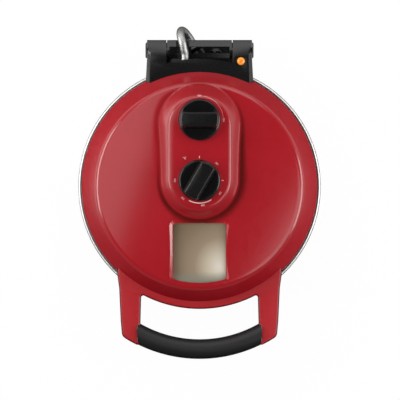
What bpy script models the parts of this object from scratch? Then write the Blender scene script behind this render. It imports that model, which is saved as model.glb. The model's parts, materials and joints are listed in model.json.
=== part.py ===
"""Electric pizza maker: a countertop cooker with a hinged lid, in metres, +Z up.

Shapes are drawn round the body axis, the upright axis of the round base. The handle is at -Y and
the hinge at +Y. FRAME_SHIFT then moves the whole object along Y, so that the origin lies on the
resting surface in the middle of the object's footprint.
"""
import math

import bmesh
import bpy
from mathutils import Matrix, Vector

MM = 0.001

# Gaps and working values
TOUCH = 0.3 * MM              # between pieces that touch
SWING = 1.0 * MM              # between the lid and the base where one turns past the other
OVERRUN = 5.0 * MM            # how far a cutter runs past what it cuts
WELD = 0.001 * MM             # points closer than this are one point
SKIN = 0.03 * MM              # by which a joined solid stays short of the face that it meets
ROUNDING_SHARE = 0.45         # of a side's length, the most that rounding one corner takes
ROUND_STEPS = 40
INNER_STEPS = 32              # of the pan and the shield inside the base
FACET_SHARE = math.cos(math.pi / ROUND_STEPS)    # of a round wall's radius, at the middle of a facet
DIAL_STEPS = 32
MID_STEPS = 20
SMALL_STEPS = 12
SCREW_STEPS = 8
CORNER_STEPS = 2
CURVE_STEPS = 12
SMOOTH_ANGLE = math.radians(35)

# Feet and bottom cover
FOOT_HEIGHT = 12.0 * MM
FOOT_RADIUS = 14.0 * MM
FOOT_TAPER = 2.0 * MM
FOOT_STEM_RADIUS = 4.0 * MM
FOOT_BARB = 1.4 * MM
FOOT_BARB_HEIGHT = 5.0 * MM
FOOT_INSET = 26.0 * MM        # of the feet's middles from the cover's side
FOOT_ANGLE = math.radians(36)
COVER_INSET = 9.0 * MM        # of the cover's side from the ring's foot
COVER_DEPTH = 18.0 * MM
COVER_WALL = 2.5 * MM
COVER_EDGE = 4.0 * MM
WELL_RADIUS = 6.0 * MM
WELL_DEPTH = 10.0 * MM
SCREW_INSET = 6.0 * MM        # of the screws from the inner edge of the ring's flange

# Screws: a head and a shank
HEAD_RADIUS = 3.4 * MM
HEAD_HEIGHT = 2.2 * MM
SHANK_RADIUS = 1.7 * MM
BASE_SCREW_LENGTH = 14.0 * MM
WALL_SCREW_LENGTH = 7.0 * MM

# Stainless ring
BASE_MARGIN = 22.6 * MM       # from the stone's edge to the ring's outside
RING_DEPTH = 60.0 * MM
RING_WALL = 1.5 * MM
RING_ROLL = 3.0 * MM
ROLL_SHARES = (0.7, 0.3)
RING_LEAN = 5.0 * MM
RING_TURN = 4.0 * MM
RING_RIM_WIDTH = 15.0 * MM
RING_FLANGE_WIDTH = 26.0 * MM
WIRE_HOLE_RADIUS = 8.0 * MM

# Cooking pan, stone, heat shield
STONE_RADIUS = 152.4 * MM
STONE_THICKNESS = 12.0 * MM
STONE_EDGE = 1.8 * MM
STONE_CLEARANCE = 2.0 * MM
PAN_LEAN = 1.6 * MM
PAN_WALL = 1.2 * MM
PAN_FLANGE_WIDTH = 11.0 * MM
PAN_DEPTH = 40.0 * MM
LEDGE_DEPTH = 18.0 * MM
LEDGE_WIDTH = 8.4 * MM
PAN_FLOOR_LEAN = 6.0 * MM
SHIELD_WALL = 0.8 * MM
SHIELD_GAP = 7.0 * MM
SHIELD_SLOPE = 16.0 * MM
SHIELD_RIM_WIDTH = 12.0 * MM

# Tubular heating elements
ELEMENT_RADIUS = 3.25 * MM
ELEMENT_END_GAP = 12.0 * MM
ELEMENT_BEND = 8.0 * MM
LOOP_STEPS = 30
BEND_STEPS = 3
LOWER_LOOP_INSET = 40.4 * MM  # of the ring's middle line from the stone's edge
LOWER_LOOP_LIFT = 9.0 * MM
LOWER_LEG_DROP = 25.0 * MM
UPPER_LOOP_INSET = 25.0 * MM  # of the ring's middle line from the liner's side
UPPER_LOOP_DROP = 9.0 * MM
UPPER_LEG_RISE = 14.0 * MM
ELEMENT_HOLE_CLEARANCE = 0.5 * MM
CLIP_LENGTH = 11.0 * MM
CLIP_WIDTH = 6.0 * MM
CLIP_GRIP = 1.5 * MM
CLIP_ANGLES = (math.radians(20), math.radians(160))

# Electrical pieces in the base
TERMINAL_SIZE = (44.0 * MM, 18.0 * MM, 13.0 * MM)
TERMINAL_INSET = 66.0 * MM    # of its middle from the cover's side
TERMINAL_BORE = 2.2 * MM
TERMINAL_PITCH = 12.0 * MM
FUSE_LENGTH = 26.0 * MM
FUSE_WIDTH = 8.0 * MM
FUSE_PLACE = 55.0 * MM

# Lid shell: heights are above its seat on the ring
LID_INSET = 5.3 * MM          # of the skirt from the ring's outside
SKIRT_HEIGHT = 12.0 * MM
SHOULDER_INSET = 4.1 * MM     # from the skirt
SHOULDER_HEIGHT = 18.0 * MM
CREASE_INSET = 21.9 * MM      # from the skirt
CREASE_HEIGHT = 44.5 * MM
CREASE_ROUND = 2.5 * MM
CROWN_HEIGHT = 56.5 * MM
SHELL_WALL = 1.5 * MM
DOME_RING_SHARE = 0.55
SHOULDER_SHARES = (0.4, 0.75)
CREASE_SHARES = (0.55, 0.8)

# Raised pod on the lid
POD_HEIGHT = 69.7 * MM
POD_HALF_WIDTH = 43.9 * MM
POD_LENGTH = 161.9 * MM
POD_INSET = 19.2 * MM         # of its rear end from the crease
POD_SPREAD = 0.74             # how far the pod's wall spreads for each unit that it drops
POD_EDGE = 2.0 * MM
POD_EDGE_SHARE = 0.6
POD_ROOT = 14.0 * MM
POD_END_STEPS = 9

# Window in the lid
WINDOW_HALF_WIDTH = 37.9 * MM
WINDOW_GAP = 19.4 * MM        # from the pod's front end
WINDOW_INSET = 9.4 * MM       # of its front arc from the crease
WINDOW_CORNER = 4.0 * MM
WINDOW_ARC_STEPS = 4
GLASS_THICKNESS = 4.0 * MM
GLASS_LIP = 3.0 * MM
FRAME_WALL = 2.0 * MM
FRAME_LEDGE = 1.5 * MM
CHUTE_INSET = 1.0 * MM
CHUTE_WALL = 2.5 * MM

# Lid liner
LINER_HEIGHT = 35.7 * MM
LINER_LEAN = 15.5 * MM
LINER_FOOT_INSET = 11.2 * MM  # from the lid's skirt
LINER_FLANGE_HEIGHT = 12.0 * MM # above the heads of the screws in the skirt
LINER_WALL = 1.0 * MM

# Dials and the controls behind them
POWER_INSET = 33.5 * MM       # from the pod's rear end
TEMPERATURE_INSET = 41.5 * MM # from the pod's front end
TEMPERATURE_POINTER = math.radians(60)
DIAL_RADIUS = 29.4 * MM
DIAL_GAP = 1.2 * MM
DIAL_DISC = 5.0 * MM
DIAL_RIM = 1.6 * MM
DIAL_HEIGHT = 22.0 * MM
DIAL_BAR_WIDTH = 19.8 * MM
DIAL_BAR_RADIUS = 27.4 * MM
DIAL_BAR_EDGE = 1.2 * MM
DIAL_HUB_RADIUS = 9.5 * MM
DIAL_HUB_DEPTH = 2.8 * MM
DIAL_SOCKET_DEPTH = 15.0 * MM
SHAFT_RADIUS = 3.0 * MM
SHAFT_FLAT = 1.0 * MM
SHAFT_SEAT = 10.0 * MM
BUSHING_RADIUS = 4.7 * MM
BUSHING_HEIGHT = 3.0 * MM
NUT_RADIUS = 7.5 * MM
NUT_HEIGHT = 2.0 * MM
SWITCH_SIZE = (44.0 * MM, 38.0 * MM, 23.0 * MM)
THERMOSTAT_SIZE = (46.0 * MM, 40.0 * MM, 25.0 * MM)
BULB_RADIUS = 2.5 * MM
BULB_LENGTH = 60.0 * MM
BULB_OFFSET = 20.2 * MM       # in front of the thermostat's dial
BULB_DROP = 3.2 * MM
CAPILLARY_SHARE = 0.44
BULB_CLIP_WIDTH = 24.0 * MM

# Hinge
HINGE_REACH = 21.0 * MM       # of the pin axis behind the ring's outside
HINGE_RISE = 5.7 * MM         # of the pin axis above the lid's seat
BOSS_RADIUS = 15.0 * MM
HINGE_HALF_WIDTH = 75.6 * MM
HINGE_TOP = 19.0 * MM         # of the cover above the lid's seat
OPENING_HALF_WIDTH = 47.7 * MM
OPENING_REACH = 13.8 * MM     # of its front arc from the lid's skirt
SIDE_CHAMFER = 3.6 * MM
SIDE_FLARE = 2.3 * MM         # how much wider the cover is at its front
FLARE_SETBACK = 12.0 * MM     # of the flare's rear in front of the pin axis
ARM_WALL = 3.4 * MM
ARM_HOLLOW_SETBACK = 9.0 * MM # in front of the pin axis
BOSS_STEPS = 14
PIN_RADIUS = 4.0 * MM
PIN_CLEARANCE = 0.3 * MM
PIN_INSET = 2.6 * MM
PLUG_RADIUS = 3.8 * MM
CAP_RADIUS = 11.5 * MM
CAP_THICKNESS = 1.9 * MM
EAR_THICKNESS = 3.5 * MM
EAR_RADIUS = 11.5 * MM
BAR_SETBACK = 4.8 * MM        # of the bar's front behind the pin axis
BAR_THICKNESS = 10.0 * MM
BAR_RISE = 10.5 * MM          # of the bar's top above the pin axis
BAR_DEPTH = 18.0 * MM
BAR_EDGE = 1.8 * MM
NOTCH_LEFT = -33.5 * MM
NOTCH_RIGHT = -14.6 * MM
NOTCH_DEPTH = 9.0 * MM
BLOCK_SETBACK = 4.0 * MM      # of the block's rear in front of the pin axis
BLOCK_TOP_DROP = 12.0 * MM    # of the block's top below the pin axis
BLOCK_HEIGHT = 34.0 * MM
BLOCK_WALL = 6.0 * MM
BLOCK_HOLLOW_HALF_WIDTH = 28.0 * MM
TRAY_HALF_WIDTH = 60.0 * MM
TRAY_REACH = 12.5 * MM        # of the tray's rear behind the pin axis
TRAY_WALL = 4.0 * MM
BRACKET_SCREW_INSET = 7.6 * MM
HINGE_SCREW_INSET = 8.6 * MM
HINGE_SCREW_RISE = 7.0 * MM

# Lamp
LAMP_INSET = 16.0 * MM        # from the cover's side
LAMP_SETBACK = 15.8 * MM      # in front of the pin axis
LENS_RADIUS = 5.8 * MM
LENS_DOME = 2.6 * MM
LENS_FLANGE = 0.9 * MM
LENS_STEM_RADIUS = 4.4 * MM
LENS_STEM_LENGTH = 7.0 * MM
LENS_WALL = 1.0 * MM
LENS_SHARES = ((0.75, 0.62), (0.4, 0.92))
LAMP_RECESS = 1.4 * MM
NEON_LENGTH = 12.0 * MM

# Handle
LIP_WIDTH = 6.7 * MM
HANDLE_THICKNESS = 18.0 * MM
ARM_SIDE_X = 118.0 * MM
ARM_SIDE_INSET = 43.5 * MM
ARM_NECK_X = 115.0 * MM
ARM_NECK_INSET = 23.4 * MM
ARM_TIP_X = 112.0 * MM
ARM_TIP_RUN = 9.6 * MM
ARM_ROOT_X = 84.0 * MM
ARM_INNER_X = 89.6 * MM
ARM_BEND_MARGIN = 1.5 * MM
ARM_END_MARGIN = 0.9 * MM
ARM_END_OUTER_X = 110.6 * MM
ARM_FILLET = 4.0 * MM
ARM_END_ROUND = 6.0 * MM
ARM_EDGE = 1.4 * MM
BRACKET_OVERLAP = 9.7 * MM    # of the bracket under the lid's skirt, before the lid is cut from it
LIP_STEPS = 9
GRIP_DISTANCE = 64.6 * MM     # of the grip's middle from the lid's skirt
GRIP_ARC_RADIUS = 186.3 * MM
GRIP_RADIUS = 14.3 * MM
GRIP_STEPS = 14
ROD_RADIUS = 5.0 * MM
ROD_SEAT = 16.0 * MM
ROD_STEPS = 12
ARM_SCREW_INSET = 3.4 * MM
LIP_SCREW_PLACE = 39.0 * MM
GRIP_SCREW_INSET = 9.4 * MM
GRIP_SCREW_LENGTH = 3.0 * MM

# Conduit between the lid and the base, a ribbed metal hose
CONDUIT_RADIUS = 6.0 * MM
CONDUIT_VALLEY_SHARE = 0.86
CONDUIT_BORE_RADIUS = 3.6 * MM
CONDUIT_RIB_STEPS = 36
CONDUIT_BORE_STEPS = 26
CONDUIT_CLEARANCE = 0.4 * MM
CONDUIT_COURSE = (             # its middle line, measured from the middle of the pin axis
    (-21.0 * MM, -19.0 * MM, 5.0 * MM), (-21.0 * MM, -7.0 * MM, 5.0 * MM),
    (-22.6 * MM, 2.0 * MM, 8.0 * MM), (-24.6 * MM, 10.5 * MM, 9.6 * MM),
    (-26.6 * MM, 18.5 * MM, 7.0 * MM), (-27.4 * MM, 25.0 * MM, 0),
    (-26.0 * MM, 28.8 * MM, -9.0 * MM), (-22.0 * MM, 27.5 * MM, -18.0 * MM),
    (-17.5 * MM, 22.5 * MM, -25.0 * MM), (-12.4 * MM, 14.9 * MM, -28.0 * MM),
    (-6.2 * MM, 4.6 * MM, -28.0 * MM))
FERRULE_RADIUS = 7.2 * MM
GLAND_RADIUS = 8.4 * MM
GLAND_COLLAR = 5.0 * MM
GLAND_SHANK_RADIUS = 5.6 * MM
GLAND_BOSS_RADIUS = 10.5 * MM
MAINS_PLACE = 24.0 * MM
MAINS_COLLAR = 7.5 * MM
MAINS_BORE_RADIUS = 3.6 * MM

# Heights and reaches that follow from the sizes above
COVER_TOP = FOOT_HEIGHT + COVER_DEPTH
RIM_HEIGHT = COVER_TOP + RING_DEPTH
LID_SEAT = RIM_HEIGHT + TOUCH
PAN_TOP = RIM_HEIGHT - RING_WALL - TOUCH
PAN_FLOOR = PAN_TOP - PAN_DEPTH
PAN_RADIUS = STONE_RADIUS + STONE_CLEARANCE
BASE_RADIUS = STONE_RADIUS + BASE_MARGIN
RING_FOOT_RADIUS = BASE_RADIUS - RING_LEAN
COVER_RADIUS = RING_FOOT_RADIUS - COVER_INSET
FOOT_CIRCLE = COVER_RADIUS - FOOT_INSET
SCREW_CIRCLE = RING_FOOT_RADIUS - RING_FLANGE_WIDTH + SCREW_INSET
TERMINAL_PLACE = COVER_RADIUS - TERMINAL_INSET
LOWER_LOOP_RADIUS = STONE_RADIUS - LOWER_LOOP_INSET
STONE_BOTTOM = PAN_TOP - LEDGE_DEPTH + TOUCH
SHIELD_TOP = PAN_FLOOR - PAN_WALL - SHIELD_GAP
SHIELD_RIM = COVER_TOP + RING_WALL + TOUCH
LID_RADIUS = BASE_RADIUS - LID_INSET
SHOULDER_RADIUS = LID_RADIUS - SHOULDER_INSET
CREASE_RADIUS = LID_RADIUS - CREASE_INSET
CROWN = LID_SEAT + CROWN_HEIGHT
POD_TOP = LID_SEAT + POD_HEIGHT
POD_REAR = CREASE_RADIUS - POD_INSET
POD_FRONT = POD_REAR - POD_LENGTH
POWER_PLACE = POD_REAR - POWER_INSET
TEMPERATURE_PLACE = POD_FRONT + TEMPERATURE_INSET
WINDOW_REAR = POD_FRONT - WINDOW_GAP
WINDOW_FRONT_RADIUS = CREASE_RADIUS - WINDOW_INSET
DOME_RISE = CROWN_HEIGHT - CREASE_HEIGHT
DOME_CURVE = (CREASE_RADIUS ** 2 + DOME_RISE ** 2) / (2 * DOME_RISE)
LINER_TOP = LID_SEAT + LINER_HEIGHT
LINER_FOOT_RADIUS = LID_RADIUS - LINER_FOOT_INSET
LINER_RADIUS = LINER_FOOT_RADIUS - LINER_LEAN
UPPER_LOOP_RADIUS = LINER_RADIUS - UPPER_LOOP_INSET
BULB_PLACE = TEMPERATURE_PLACE - BULB_OFFSET
CONTROL_TOP = POD_TOP - SHELL_WALL - TOUCH
HINGE = Vector((0, BASE_RADIUS + HINGE_REACH, LID_SEAT + HINGE_RISE))
OPENING_RADIUS = LID_RADIUS + OPENING_REACH
ARM_HOLLOW_REAR = HINGE.y - ARM_HOLLOW_SETBACK
PIN_END = HINGE_HALF_WIDTH - PIN_INSET
BAR_FRONT = HINGE.y + BAR_SETBACK
BAR_REAR = BAR_FRONT + BAR_THICKNESS
BLOCK_REAR = HINGE.y - BLOCK_SETBACK
LAMP_PLACE = (HINGE_HALF_WIDTH - LAMP_INSET, HINGE.y - LAMP_SETBACK)
CONDUIT_ROUTE = [HINGE + Vector(point) for point in CONDUIT_COURSE]
BLOCK_TOP = HINGE.z - BLOCK_TOP_DROP
BLOCK_MIDDLE = BLOCK_TOP - BLOCK_HEIGHT / 2
HANDLE_BOTTOM = RIM_HEIGHT + SWING
HANDLE_MIDDLE = HANDLE_BOTTOM + HANDLE_THICKNESS / 2
LIP_RADIUS = LID_RADIUS + LIP_WIDTH
BRACKET_INNER_RADIUS = LID_RADIUS - BRACKET_OVERLAP
GRIP_CENTRE = GRIP_ARC_RADIUS - GRIP_DISTANCE - LID_RADIUS
GRIP_REACH = GRIP_ARC_RADIUS + GRIP_RADIUS - GRIP_CENTRE
GRIP_SCREW_PLACE = ARM_INNER_X + GRIP_SCREW_INSET
CONDUIT_REACH = max(point[1] for point in CONDUIT_ROUTE) + CONDUIT_RADIUS
FRAME_SHIFT = (GRIP_REACH - CONDUIT_REACH) / 2
DIAL_BOTTOM = POD_TOP + DIAL_GAP
BRACKET_SCREW_PLACE = OPENING_HALF_WIDTH - BRACKET_SCREW_INSET
HINGE_SCREW_PLACE = OPENING_HALF_WIDTH - HINGE_SCREW_INSET
ARM_SCREW_PLACE = ARM_ROOT_X + ARM_SCREW_INSET

# Screws through the lid's skirt: place on X, and 1 at the hinge or -1 at the handle
HINGE_SCREWS = ((HINGE_SCREW_PLACE, 1), (-HINGE_SCREW_PLACE, 1))
HANDLE_SCREWS = ((-ARM_SCREW_PLACE, -1), (-LIP_SCREW_PLACE, -1), (LIP_SCREW_PLACE, -1),
                 (ARM_SCREW_PLACE, -1))

# Finishes: colour, roughness, metallic
RED_ENAMEL = ((0.33, 0.008, 0.012), 0.3, 0.0)
STAINLESS = ((0.62, 0.62, 0.61), 0.28, 1.0)
ALUMINISED = ((0.5, 0.5, 0.49), 0.45, 1.0)
BLACK_PLASTIC = ((0.012, 0.012, 0.012), 0.42, 0.0)
BLACK_RUBBER = ((0.02, 0.02, 0.02), 0.8, 0.0)
CERAMIC = ((0.62, 0.52, 0.4), 0.85, 0.0)
SMOKED_GLASS = ((0.35, 0.29, 0.21), 0.08, 0.0)
ZINC_STEEL = ((0.55, 0.55, 0.53), 0.35, 1.0)
ELEMENT_STEEL = ((0.1, 0.1, 0.1), 0.5, 1.0)
SWITCH_PLASTIC = ((0.55, 0.5, 0.4), 0.6, 0.0)
ORANGE_LENS = ((0.9, 0.24, 0.01), 0.2, 0.0)
CLEAR_GLASS = ((0.7, 0.66, 0.6), 0.1, 0.0)
COPPER = ((0.7, 0.32, 0.16), 0.35, 1.0)


class Pivot:
    """A body of the object: an empty on the body's joint axis that its pieces hang from."""

    def __init__(self, name, place, carrier=None):
        self.place = Vector(place)
        self.empty = bpy.data.objects.new(name, None)
        bpy.context.scene.collection.objects.link(self.empty)
        if carrier:
            self.empty.parent = carrier.empty
            self.empty.location = self.place - carrier.place
        else:
            self.empty.location = self.place + Vector((0, FRAME_SHIFT, 0))


# Outlines and paths

def rounded(corners, steps=CORNER_STEPS):
    """Round the corners (x, y, radius) of an outline; a radius of 0 keeps the corner."""
    outline = []
    count = len(corners)
    for index, (x, y, radius) in enumerate(corners):
        corner = Vector((x, y))
        if not radius:
            outline.append((x, y))
            continue
        back = Vector(corners[index - 1][:2]) - corner
        ahead = Vector(corners[(index + 1) % count][:2]) - corner
        half = back.angle(ahead) / 2
        reach = min(radius / math.tan(half), back.length * ROUNDING_SHARE, ahead.length * ROUNDING_SHARE)
        radius = reach * math.tan(half)
        middle = corner + (back.normalized() + ahead.normalized()).normalized() * (radius / math.sin(half))
        first = (corner + back.normalized() * reach - middle).normalized()
        last = (corner + ahead.normalized() * reach - middle).normalized()
        for step in range(steps + 1):
            point = middle + first.slerp(last, step / steps) * radius
            outline.append((point.x, point.y))
    return outline


def offset(path, distance):
    """Move an open path of (radius, height) points to its left, keeping its corners mitred."""
    points = [Vector(point) for point in path]
    runs = [(b - a).normalized() for a, b in zip(points, points[1:])]
    sides = [Vector((-run.y, run.x)) for run in runs]
    moved = [points[0] + sides[0] * distance]
    for point, before, after in zip(points[1:], sides, sides[1:]):
        middle = (before + after).normalized()
        moved.append(point + middle * (distance / middle.dot(before)))
    moved.append(points[-1] + sides[-1] * distance)
    return [(point.x, point.y) for point in moved]


def sheet(path, wall):
    """Section of a sheet of one thickness whose shown side is the path."""
    return list(path) + offset(path, wall)[::-1]


def arc(radius, start, end, steps, centre=(0, 0)):
    """Points of an arc from one angle to another."""
    angles = [start + (end - start) * step / steps for step in range(steps + 1)]
    return [(centre[0] + radius * math.cos(a), centre[1] + radius * math.sin(a)) for a in angles]


def circle(radius, steps, centre=(0, 0)):
    return arc(radius, 0, 2 * math.pi, steps, centre)[:-1]


def smooth(route, count):
    """Points evenly spread on a smooth curve through the route's points, straight in its end runs."""
    points = [Vector(point) for point in route]
    slopes = [(c - a) / 2 for a, c in zip(points, points[2:])]
    slopes[0] = points[1] - points[0]
    slopes[-1] = points[-1] - points[-2]
    slopes = [slopes[0]] + slopes + [slopes[-1]]
    fine = []
    for a, b, leave, arrive in zip(points, points[1:], slopes, slopes[1:]):
        for step in range(CURVE_STEPS):
            t = step / CURVE_STEPS
            fine.append(a * (1 + 2 * t) * (1 - t) ** 2 + leave * t * (1 - t) ** 2
                        + b * (3 - 2 * t) * t ** 2 + arrive * (t - 1) * t ** 2)
    fine.append(points[-1])
    lengths = [0]
    for a, b in zip(fine, fine[1:]):
        lengths.append(lengths[-1] + (b - a).length)
    spread = []
    place = 0
    for number in range(count):
        goal = lengths[-1] * number / (count - 1)
        while place < len(fine) - 2 and lengths[place + 1] < goal:
            place += 1
        run = lengths[place + 1] - lengths[place]
        spread.append(fine[place].lerp(fine[place + 1], (goal - lengths[place]) / run))
    return spread


# Solids

def closed(shape):
    """Merge the doubled points of a solid and turn its faces outwards."""
    bmesh.ops.remove_doubles(shape, verts=shape.verts, dist=WELD)
    bmesh.ops.recalc_face_normals(shape, faces=shape.faces)
    return shape


def turned(section, steps=ROUND_STEPS):
    """Solid of revolution about Z of a closed section of (radius, height) points."""
    shape = bmesh.new()
    points = [shape.verts.new((radius, 0, height)) for radius, height in section]
    edges = []
    for a, b in zip(points, points[1:] + points[:1]):
        if a.co.x > WELD or b.co.x > WELD:
            edges.append(shape.edges.new((a, b)))
    bmesh.ops.spin(shape, geom=points + edges, axis=(0, 0, 1), cent=(0, 0, 0),
                   angle=2 * math.pi, steps=steps, use_merge=True)
    return closed(shape)


def rod(radius, low, high, steps=SMALL_STEPS):
    return turned([(0, low), (radius, low), (radius, high), (0, high)], steps)


def tube_ring(bore, radius, low, high, steps=SMALL_STEPS):
    return turned([(bore, low), (radius, low), (radius, high), (bore, high)], steps)


def lofted(rings):
    """Solid through rings of as many points each, flat at both ends."""
    shape = bmesh.new()
    rows = [[shape.verts.new(point) for point in ring] for ring in rings]
    count = len(rows[0])
    for low, high in zip(rows, rows[1:]):
        for a in range(count):
            b = (a + 1) % count
            shape.faces.new((low[a], low[b], high[b], high[a]))
    shape.faces.new(rows[0])
    shape.faces.new(rows[-1])
    return closed(shape)


def prism(outline, low, high):
    """Straight solid of an (x, y) outline between two heights."""
    return lofted([[(x, y, height) for x, y in outline] for height in (low, high)])


def side_prism(outline, left, right):
    """Straight solid of a (y, z) outline between two places on X."""
    return lofted([[(x, y, z) for y, z in outline] for x in (left, right)])


def box(low, high):
    return prism([(low[0], low[1]), (high[0], low[1]), (high[0], high[1]), (low[0], high[1])],
                 low[2], high[2])


def placed(shape, place=(0, 0, 0), aim=None, turn=0, tilt=0):
    """Turn a shape about Z, tilt it about X, point its Z along aim, and move it."""
    matrix = Matrix.Rotation(tilt, 4, 'X') @ Matrix.Rotation(turn, 4, 'Z')
    if aim:
        matrix = Vector(aim).to_track_quat('Z', 'Y').to_matrix().to_4x4() @ matrix
    bmesh.ops.transform(shape, matrix=Matrix.Translation(place) @ matrix, verts=shape.verts)
    return shape


def swept(route, radius, swell=None, resolution=2):
    """Round tube along a route, as a bevelled curve; swell gives shares of the radius."""
    curve = bpy.data.curves.new("route", 'CURVE')
    curve.dimensions = '3D'
    curve.bevel_depth = radius
    curve.bevel_resolution = resolution
    curve.use_fill_caps = True
    spline = curve.splines.new('POLY')
    spline.points.add(len(route) - 1)
    for point, place, share in zip(spline.points, route, swell or [1] * len(route)):
        point.co = (*place, 1)
        point.radius = share
    guide = bpy.data.objects.new("route", curve)
    bpy.context.scene.collection.objects.link(guide)
    graph = bpy.context.evaluated_depsgraph_get()
    mesh = bpy.data.meshes.new_from_object(guide.evaluated_get(graph))
    bpy.data.objects.remove(guide)
    bpy.data.curves.remove(curve)
    shape = bmesh.new()
    shape.from_mesh(mesh)
    bpy.data.meshes.remove(mesh)
    return closed(shape)


def merged(name, shapes):
    """One mesh of separate solids."""
    whole = bmesh.new()
    for shape in shapes:
        part = bpy.data.meshes.new(name)
        shape.to_mesh(part)
        shape.free()
        whole.from_mesh(part)
        bpy.data.meshes.remove(part)
    mesh = bpy.data.meshes.new(name)
    whole.to_mesh(mesh)
    whole.free()
    return mesh


def hung(name, pivot, mesh):
    item = bpy.data.objects.new(name, mesh)
    bpy.context.scene.collection.objects.link(item)
    item.parent = pivot.empty
    item.matrix_parent_inverse = Matrix.Translation(-pivot.place)
    return item


def piece(name, pivot, finish, *shapes, edge=0):
    """A named piece of the object in its own material, with an optional chamfer on sharp edges."""
    item = hung(name, pivot, merged(name, shapes))
    colour, roughness, metallic = finish
    material = bpy.data.materials.new(name)
    material.use_nodes = True
    shader = material.node_tree.nodes["Principled BSDF"]
    shader.inputs["Base Color"].default_value = (*colour, 1)
    shader.inputs["Roughness"].default_value = roughness
    shader.inputs["Metallic"].default_value = metallic
    item.data.materials.append(material)
    item.data.shade_smooth()
    item.data.set_sharp_from_angle(angle=SMOOTH_ANGLE)
    if edge:
        chamfer = item.modifiers.new("edge", 'BEVEL')
        chamfer.width = edge
        chamfer.segments = 1
        chamfer.limit_method = 'ANGLE'
        chamfer.angle_limit = SMOOTH_ANGLE
    return item


def pieces(name, pivot, finish, shapes, tails=None):
    """One piece for each shape, numbered unless their names' tails are given."""
    tails = tails or [str(number + 1) for number in range(len(shapes))]
    return [piece(name + "_" + tail, pivot, finish, shape) for tail, shape in zip(tails, shapes)]


def cutter(name, pivot, *shapes):
    item = hung(name, pivot, merged(name, shapes))
    item.hide_render = True
    item.display_type = 'WIRE'
    return item


def combine(item, operation, *tools):
    for tool in tools:
        step = item.modifiers.new(tool.name, 'BOOLEAN')
        step.operation = operation
        step.solver = 'EXACT'
        step.object = tool


def cut(item, *tools):
    combine(item, 'DIFFERENCE', *tools)


def join(item, *tools):
    combine(item, 'UNION', *tools)


def screw(length, place, aim):
    """A pan head screw whose head sits at the place and whose shank points along aim."""
    section = [(0, -HEAD_HEIGHT), (HEAD_RADIUS, -HEAD_HEIGHT), (HEAD_RADIUS, 0),
               (SHANK_RADIUS, 0), (SHANK_RADIUS, length), (0, length)]
    return placed(turned(section, SCREW_STEPS), place, aim)


def screw_hole(length, place, aim):
    """The hole that a screw's shank passes through, from just behind its head."""
    return placed(rod(SHANK_RADIUS + TOUCH, -TOUCH * 2, length + TOUCH, SCREW_STEPS), place, aim)


def around(radius, angle, height):
    return Vector((radius * math.cos(angle), radius * math.sin(angle), height))


# Surfaces that several pieces share

def ring_path():
    """Outer side of the stainless ring, from its bottom flange up to the rim's inner edge."""
    foot = RING_FOOT_RADIUS
    corner = BASE_RADIUS - RING_ROLL
    outward, downward = ROLL_SHARES
    return [(foot - RING_FLANGE_WIDTH, COVER_TOP), (foot - RING_TURN, COVER_TOP),
            (foot, COVER_TOP + RING_TURN), (BASE_RADIUS, RIM_HEIGHT - RING_ROLL),
            (corner + RING_ROLL * outward, RIM_HEIGHT - RING_ROLL * downward), (corner, RIM_HEIGHT),
            (BASE_RADIUS - RING_RIM_WIDTH, RIM_HEIGHT)]


def ring_wall_radius(height):
    """Outer radius of the ring's leaning wall at a height."""
    low = COVER_TOP + RING_TURN
    share = (height - low) / (RIM_HEIGHT - RING_ROLL - low)
    return BASE_RADIUS - RING_LEAN * (1 - share)


def dome_height(radius):
    """Height of the shallow dome's surface at a radius."""
    return CROWN - DOME_CURVE + math.sqrt(DOME_CURVE ** 2 - radius ** 2)


def lid_path():
    """Outer side of the lid, from the skirt's lower edge up to the crown."""
    skirt = LID_SEAT + SKIRT_HEIGHT
    shoulder = LID_SEAT + SHOULDER_HEIGHT
    path = [(LID_RADIUS, LID_SEAT), (LID_RADIUS, skirt)]
    inward, upward = SHOULDER_SHARES
    path.append((LID_RADIUS - (LID_RADIUS - SHOULDER_RADIUS) * inward, skirt + (shoulder - skirt) * upward))
    path.append((SHOULDER_RADIUS, shoulder))
    outward, downward = CREASE_SHARES
    path.append((CREASE_RADIUS + CREASE_ROUND * outward, dome_height(CREASE_RADIUS) - CREASE_ROUND * downward))
    path.append((CREASE_RADIUS - CREASE_ROUND, dome_height(CREASE_RADIUS - CREASE_ROUND)))
    path.append((CREASE_RADIUS * DOME_RING_SHARE, dome_height(CREASE_RADIUS * DOME_RING_SHARE)))
    path.append((0, CROWN))
    return path


def lid_solid(inset):
    """The lid's whole inside, its surface moved in by inset, down past the lid's seat."""
    path = offset(lid_path(), inset)
    path[-1] = (0, path[-1][1])
    rim = path[0][0]
    low = LID_SEAT - (OVERRUN if inset else 0)
    return turned([(0, low), (rim, low)] + path[1:])


def pod_ring(height, inset=0):
    """The pod's long round outline at a height, its wall moved in by inset."""
    half = POD_HALF_WIDTH + POD_SPREAD * (POD_TOP - height) - inset
    front = arc(half, -math.pi, 0, POD_END_STEPS, (0, POD_FRONT + POD_HALF_WIDTH))
    rear = arc(half, 0, math.pi, POD_END_STEPS, (0, POD_REAR - POD_HALF_WIDTH))
    return [(x, y, height) for x, y in front + rear]


def pod_solid(inset):
    """The pod as a solid that reaches down into the dome."""
    top = POD_TOP - inset
    slant = inset * math.hypot(1, POD_SPREAD) - inset * POD_SPREAD
    shoulder = top - POD_EDGE * POD_EDGE_SHARE
    rings = [pod_ring(POD_TOP - POD_HEIGHT + CREASE_HEIGHT - POD_ROOT, slant + inset * POD_SPREAD),
             pod_ring(shoulder, slant + inset * POD_SPREAD)]
    edge = [(x, y, top) for x, y, height in pod_ring(top, slant + inset * POD_SPREAD + POD_EDGE)]
    return lofted(rings + [edge])


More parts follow.
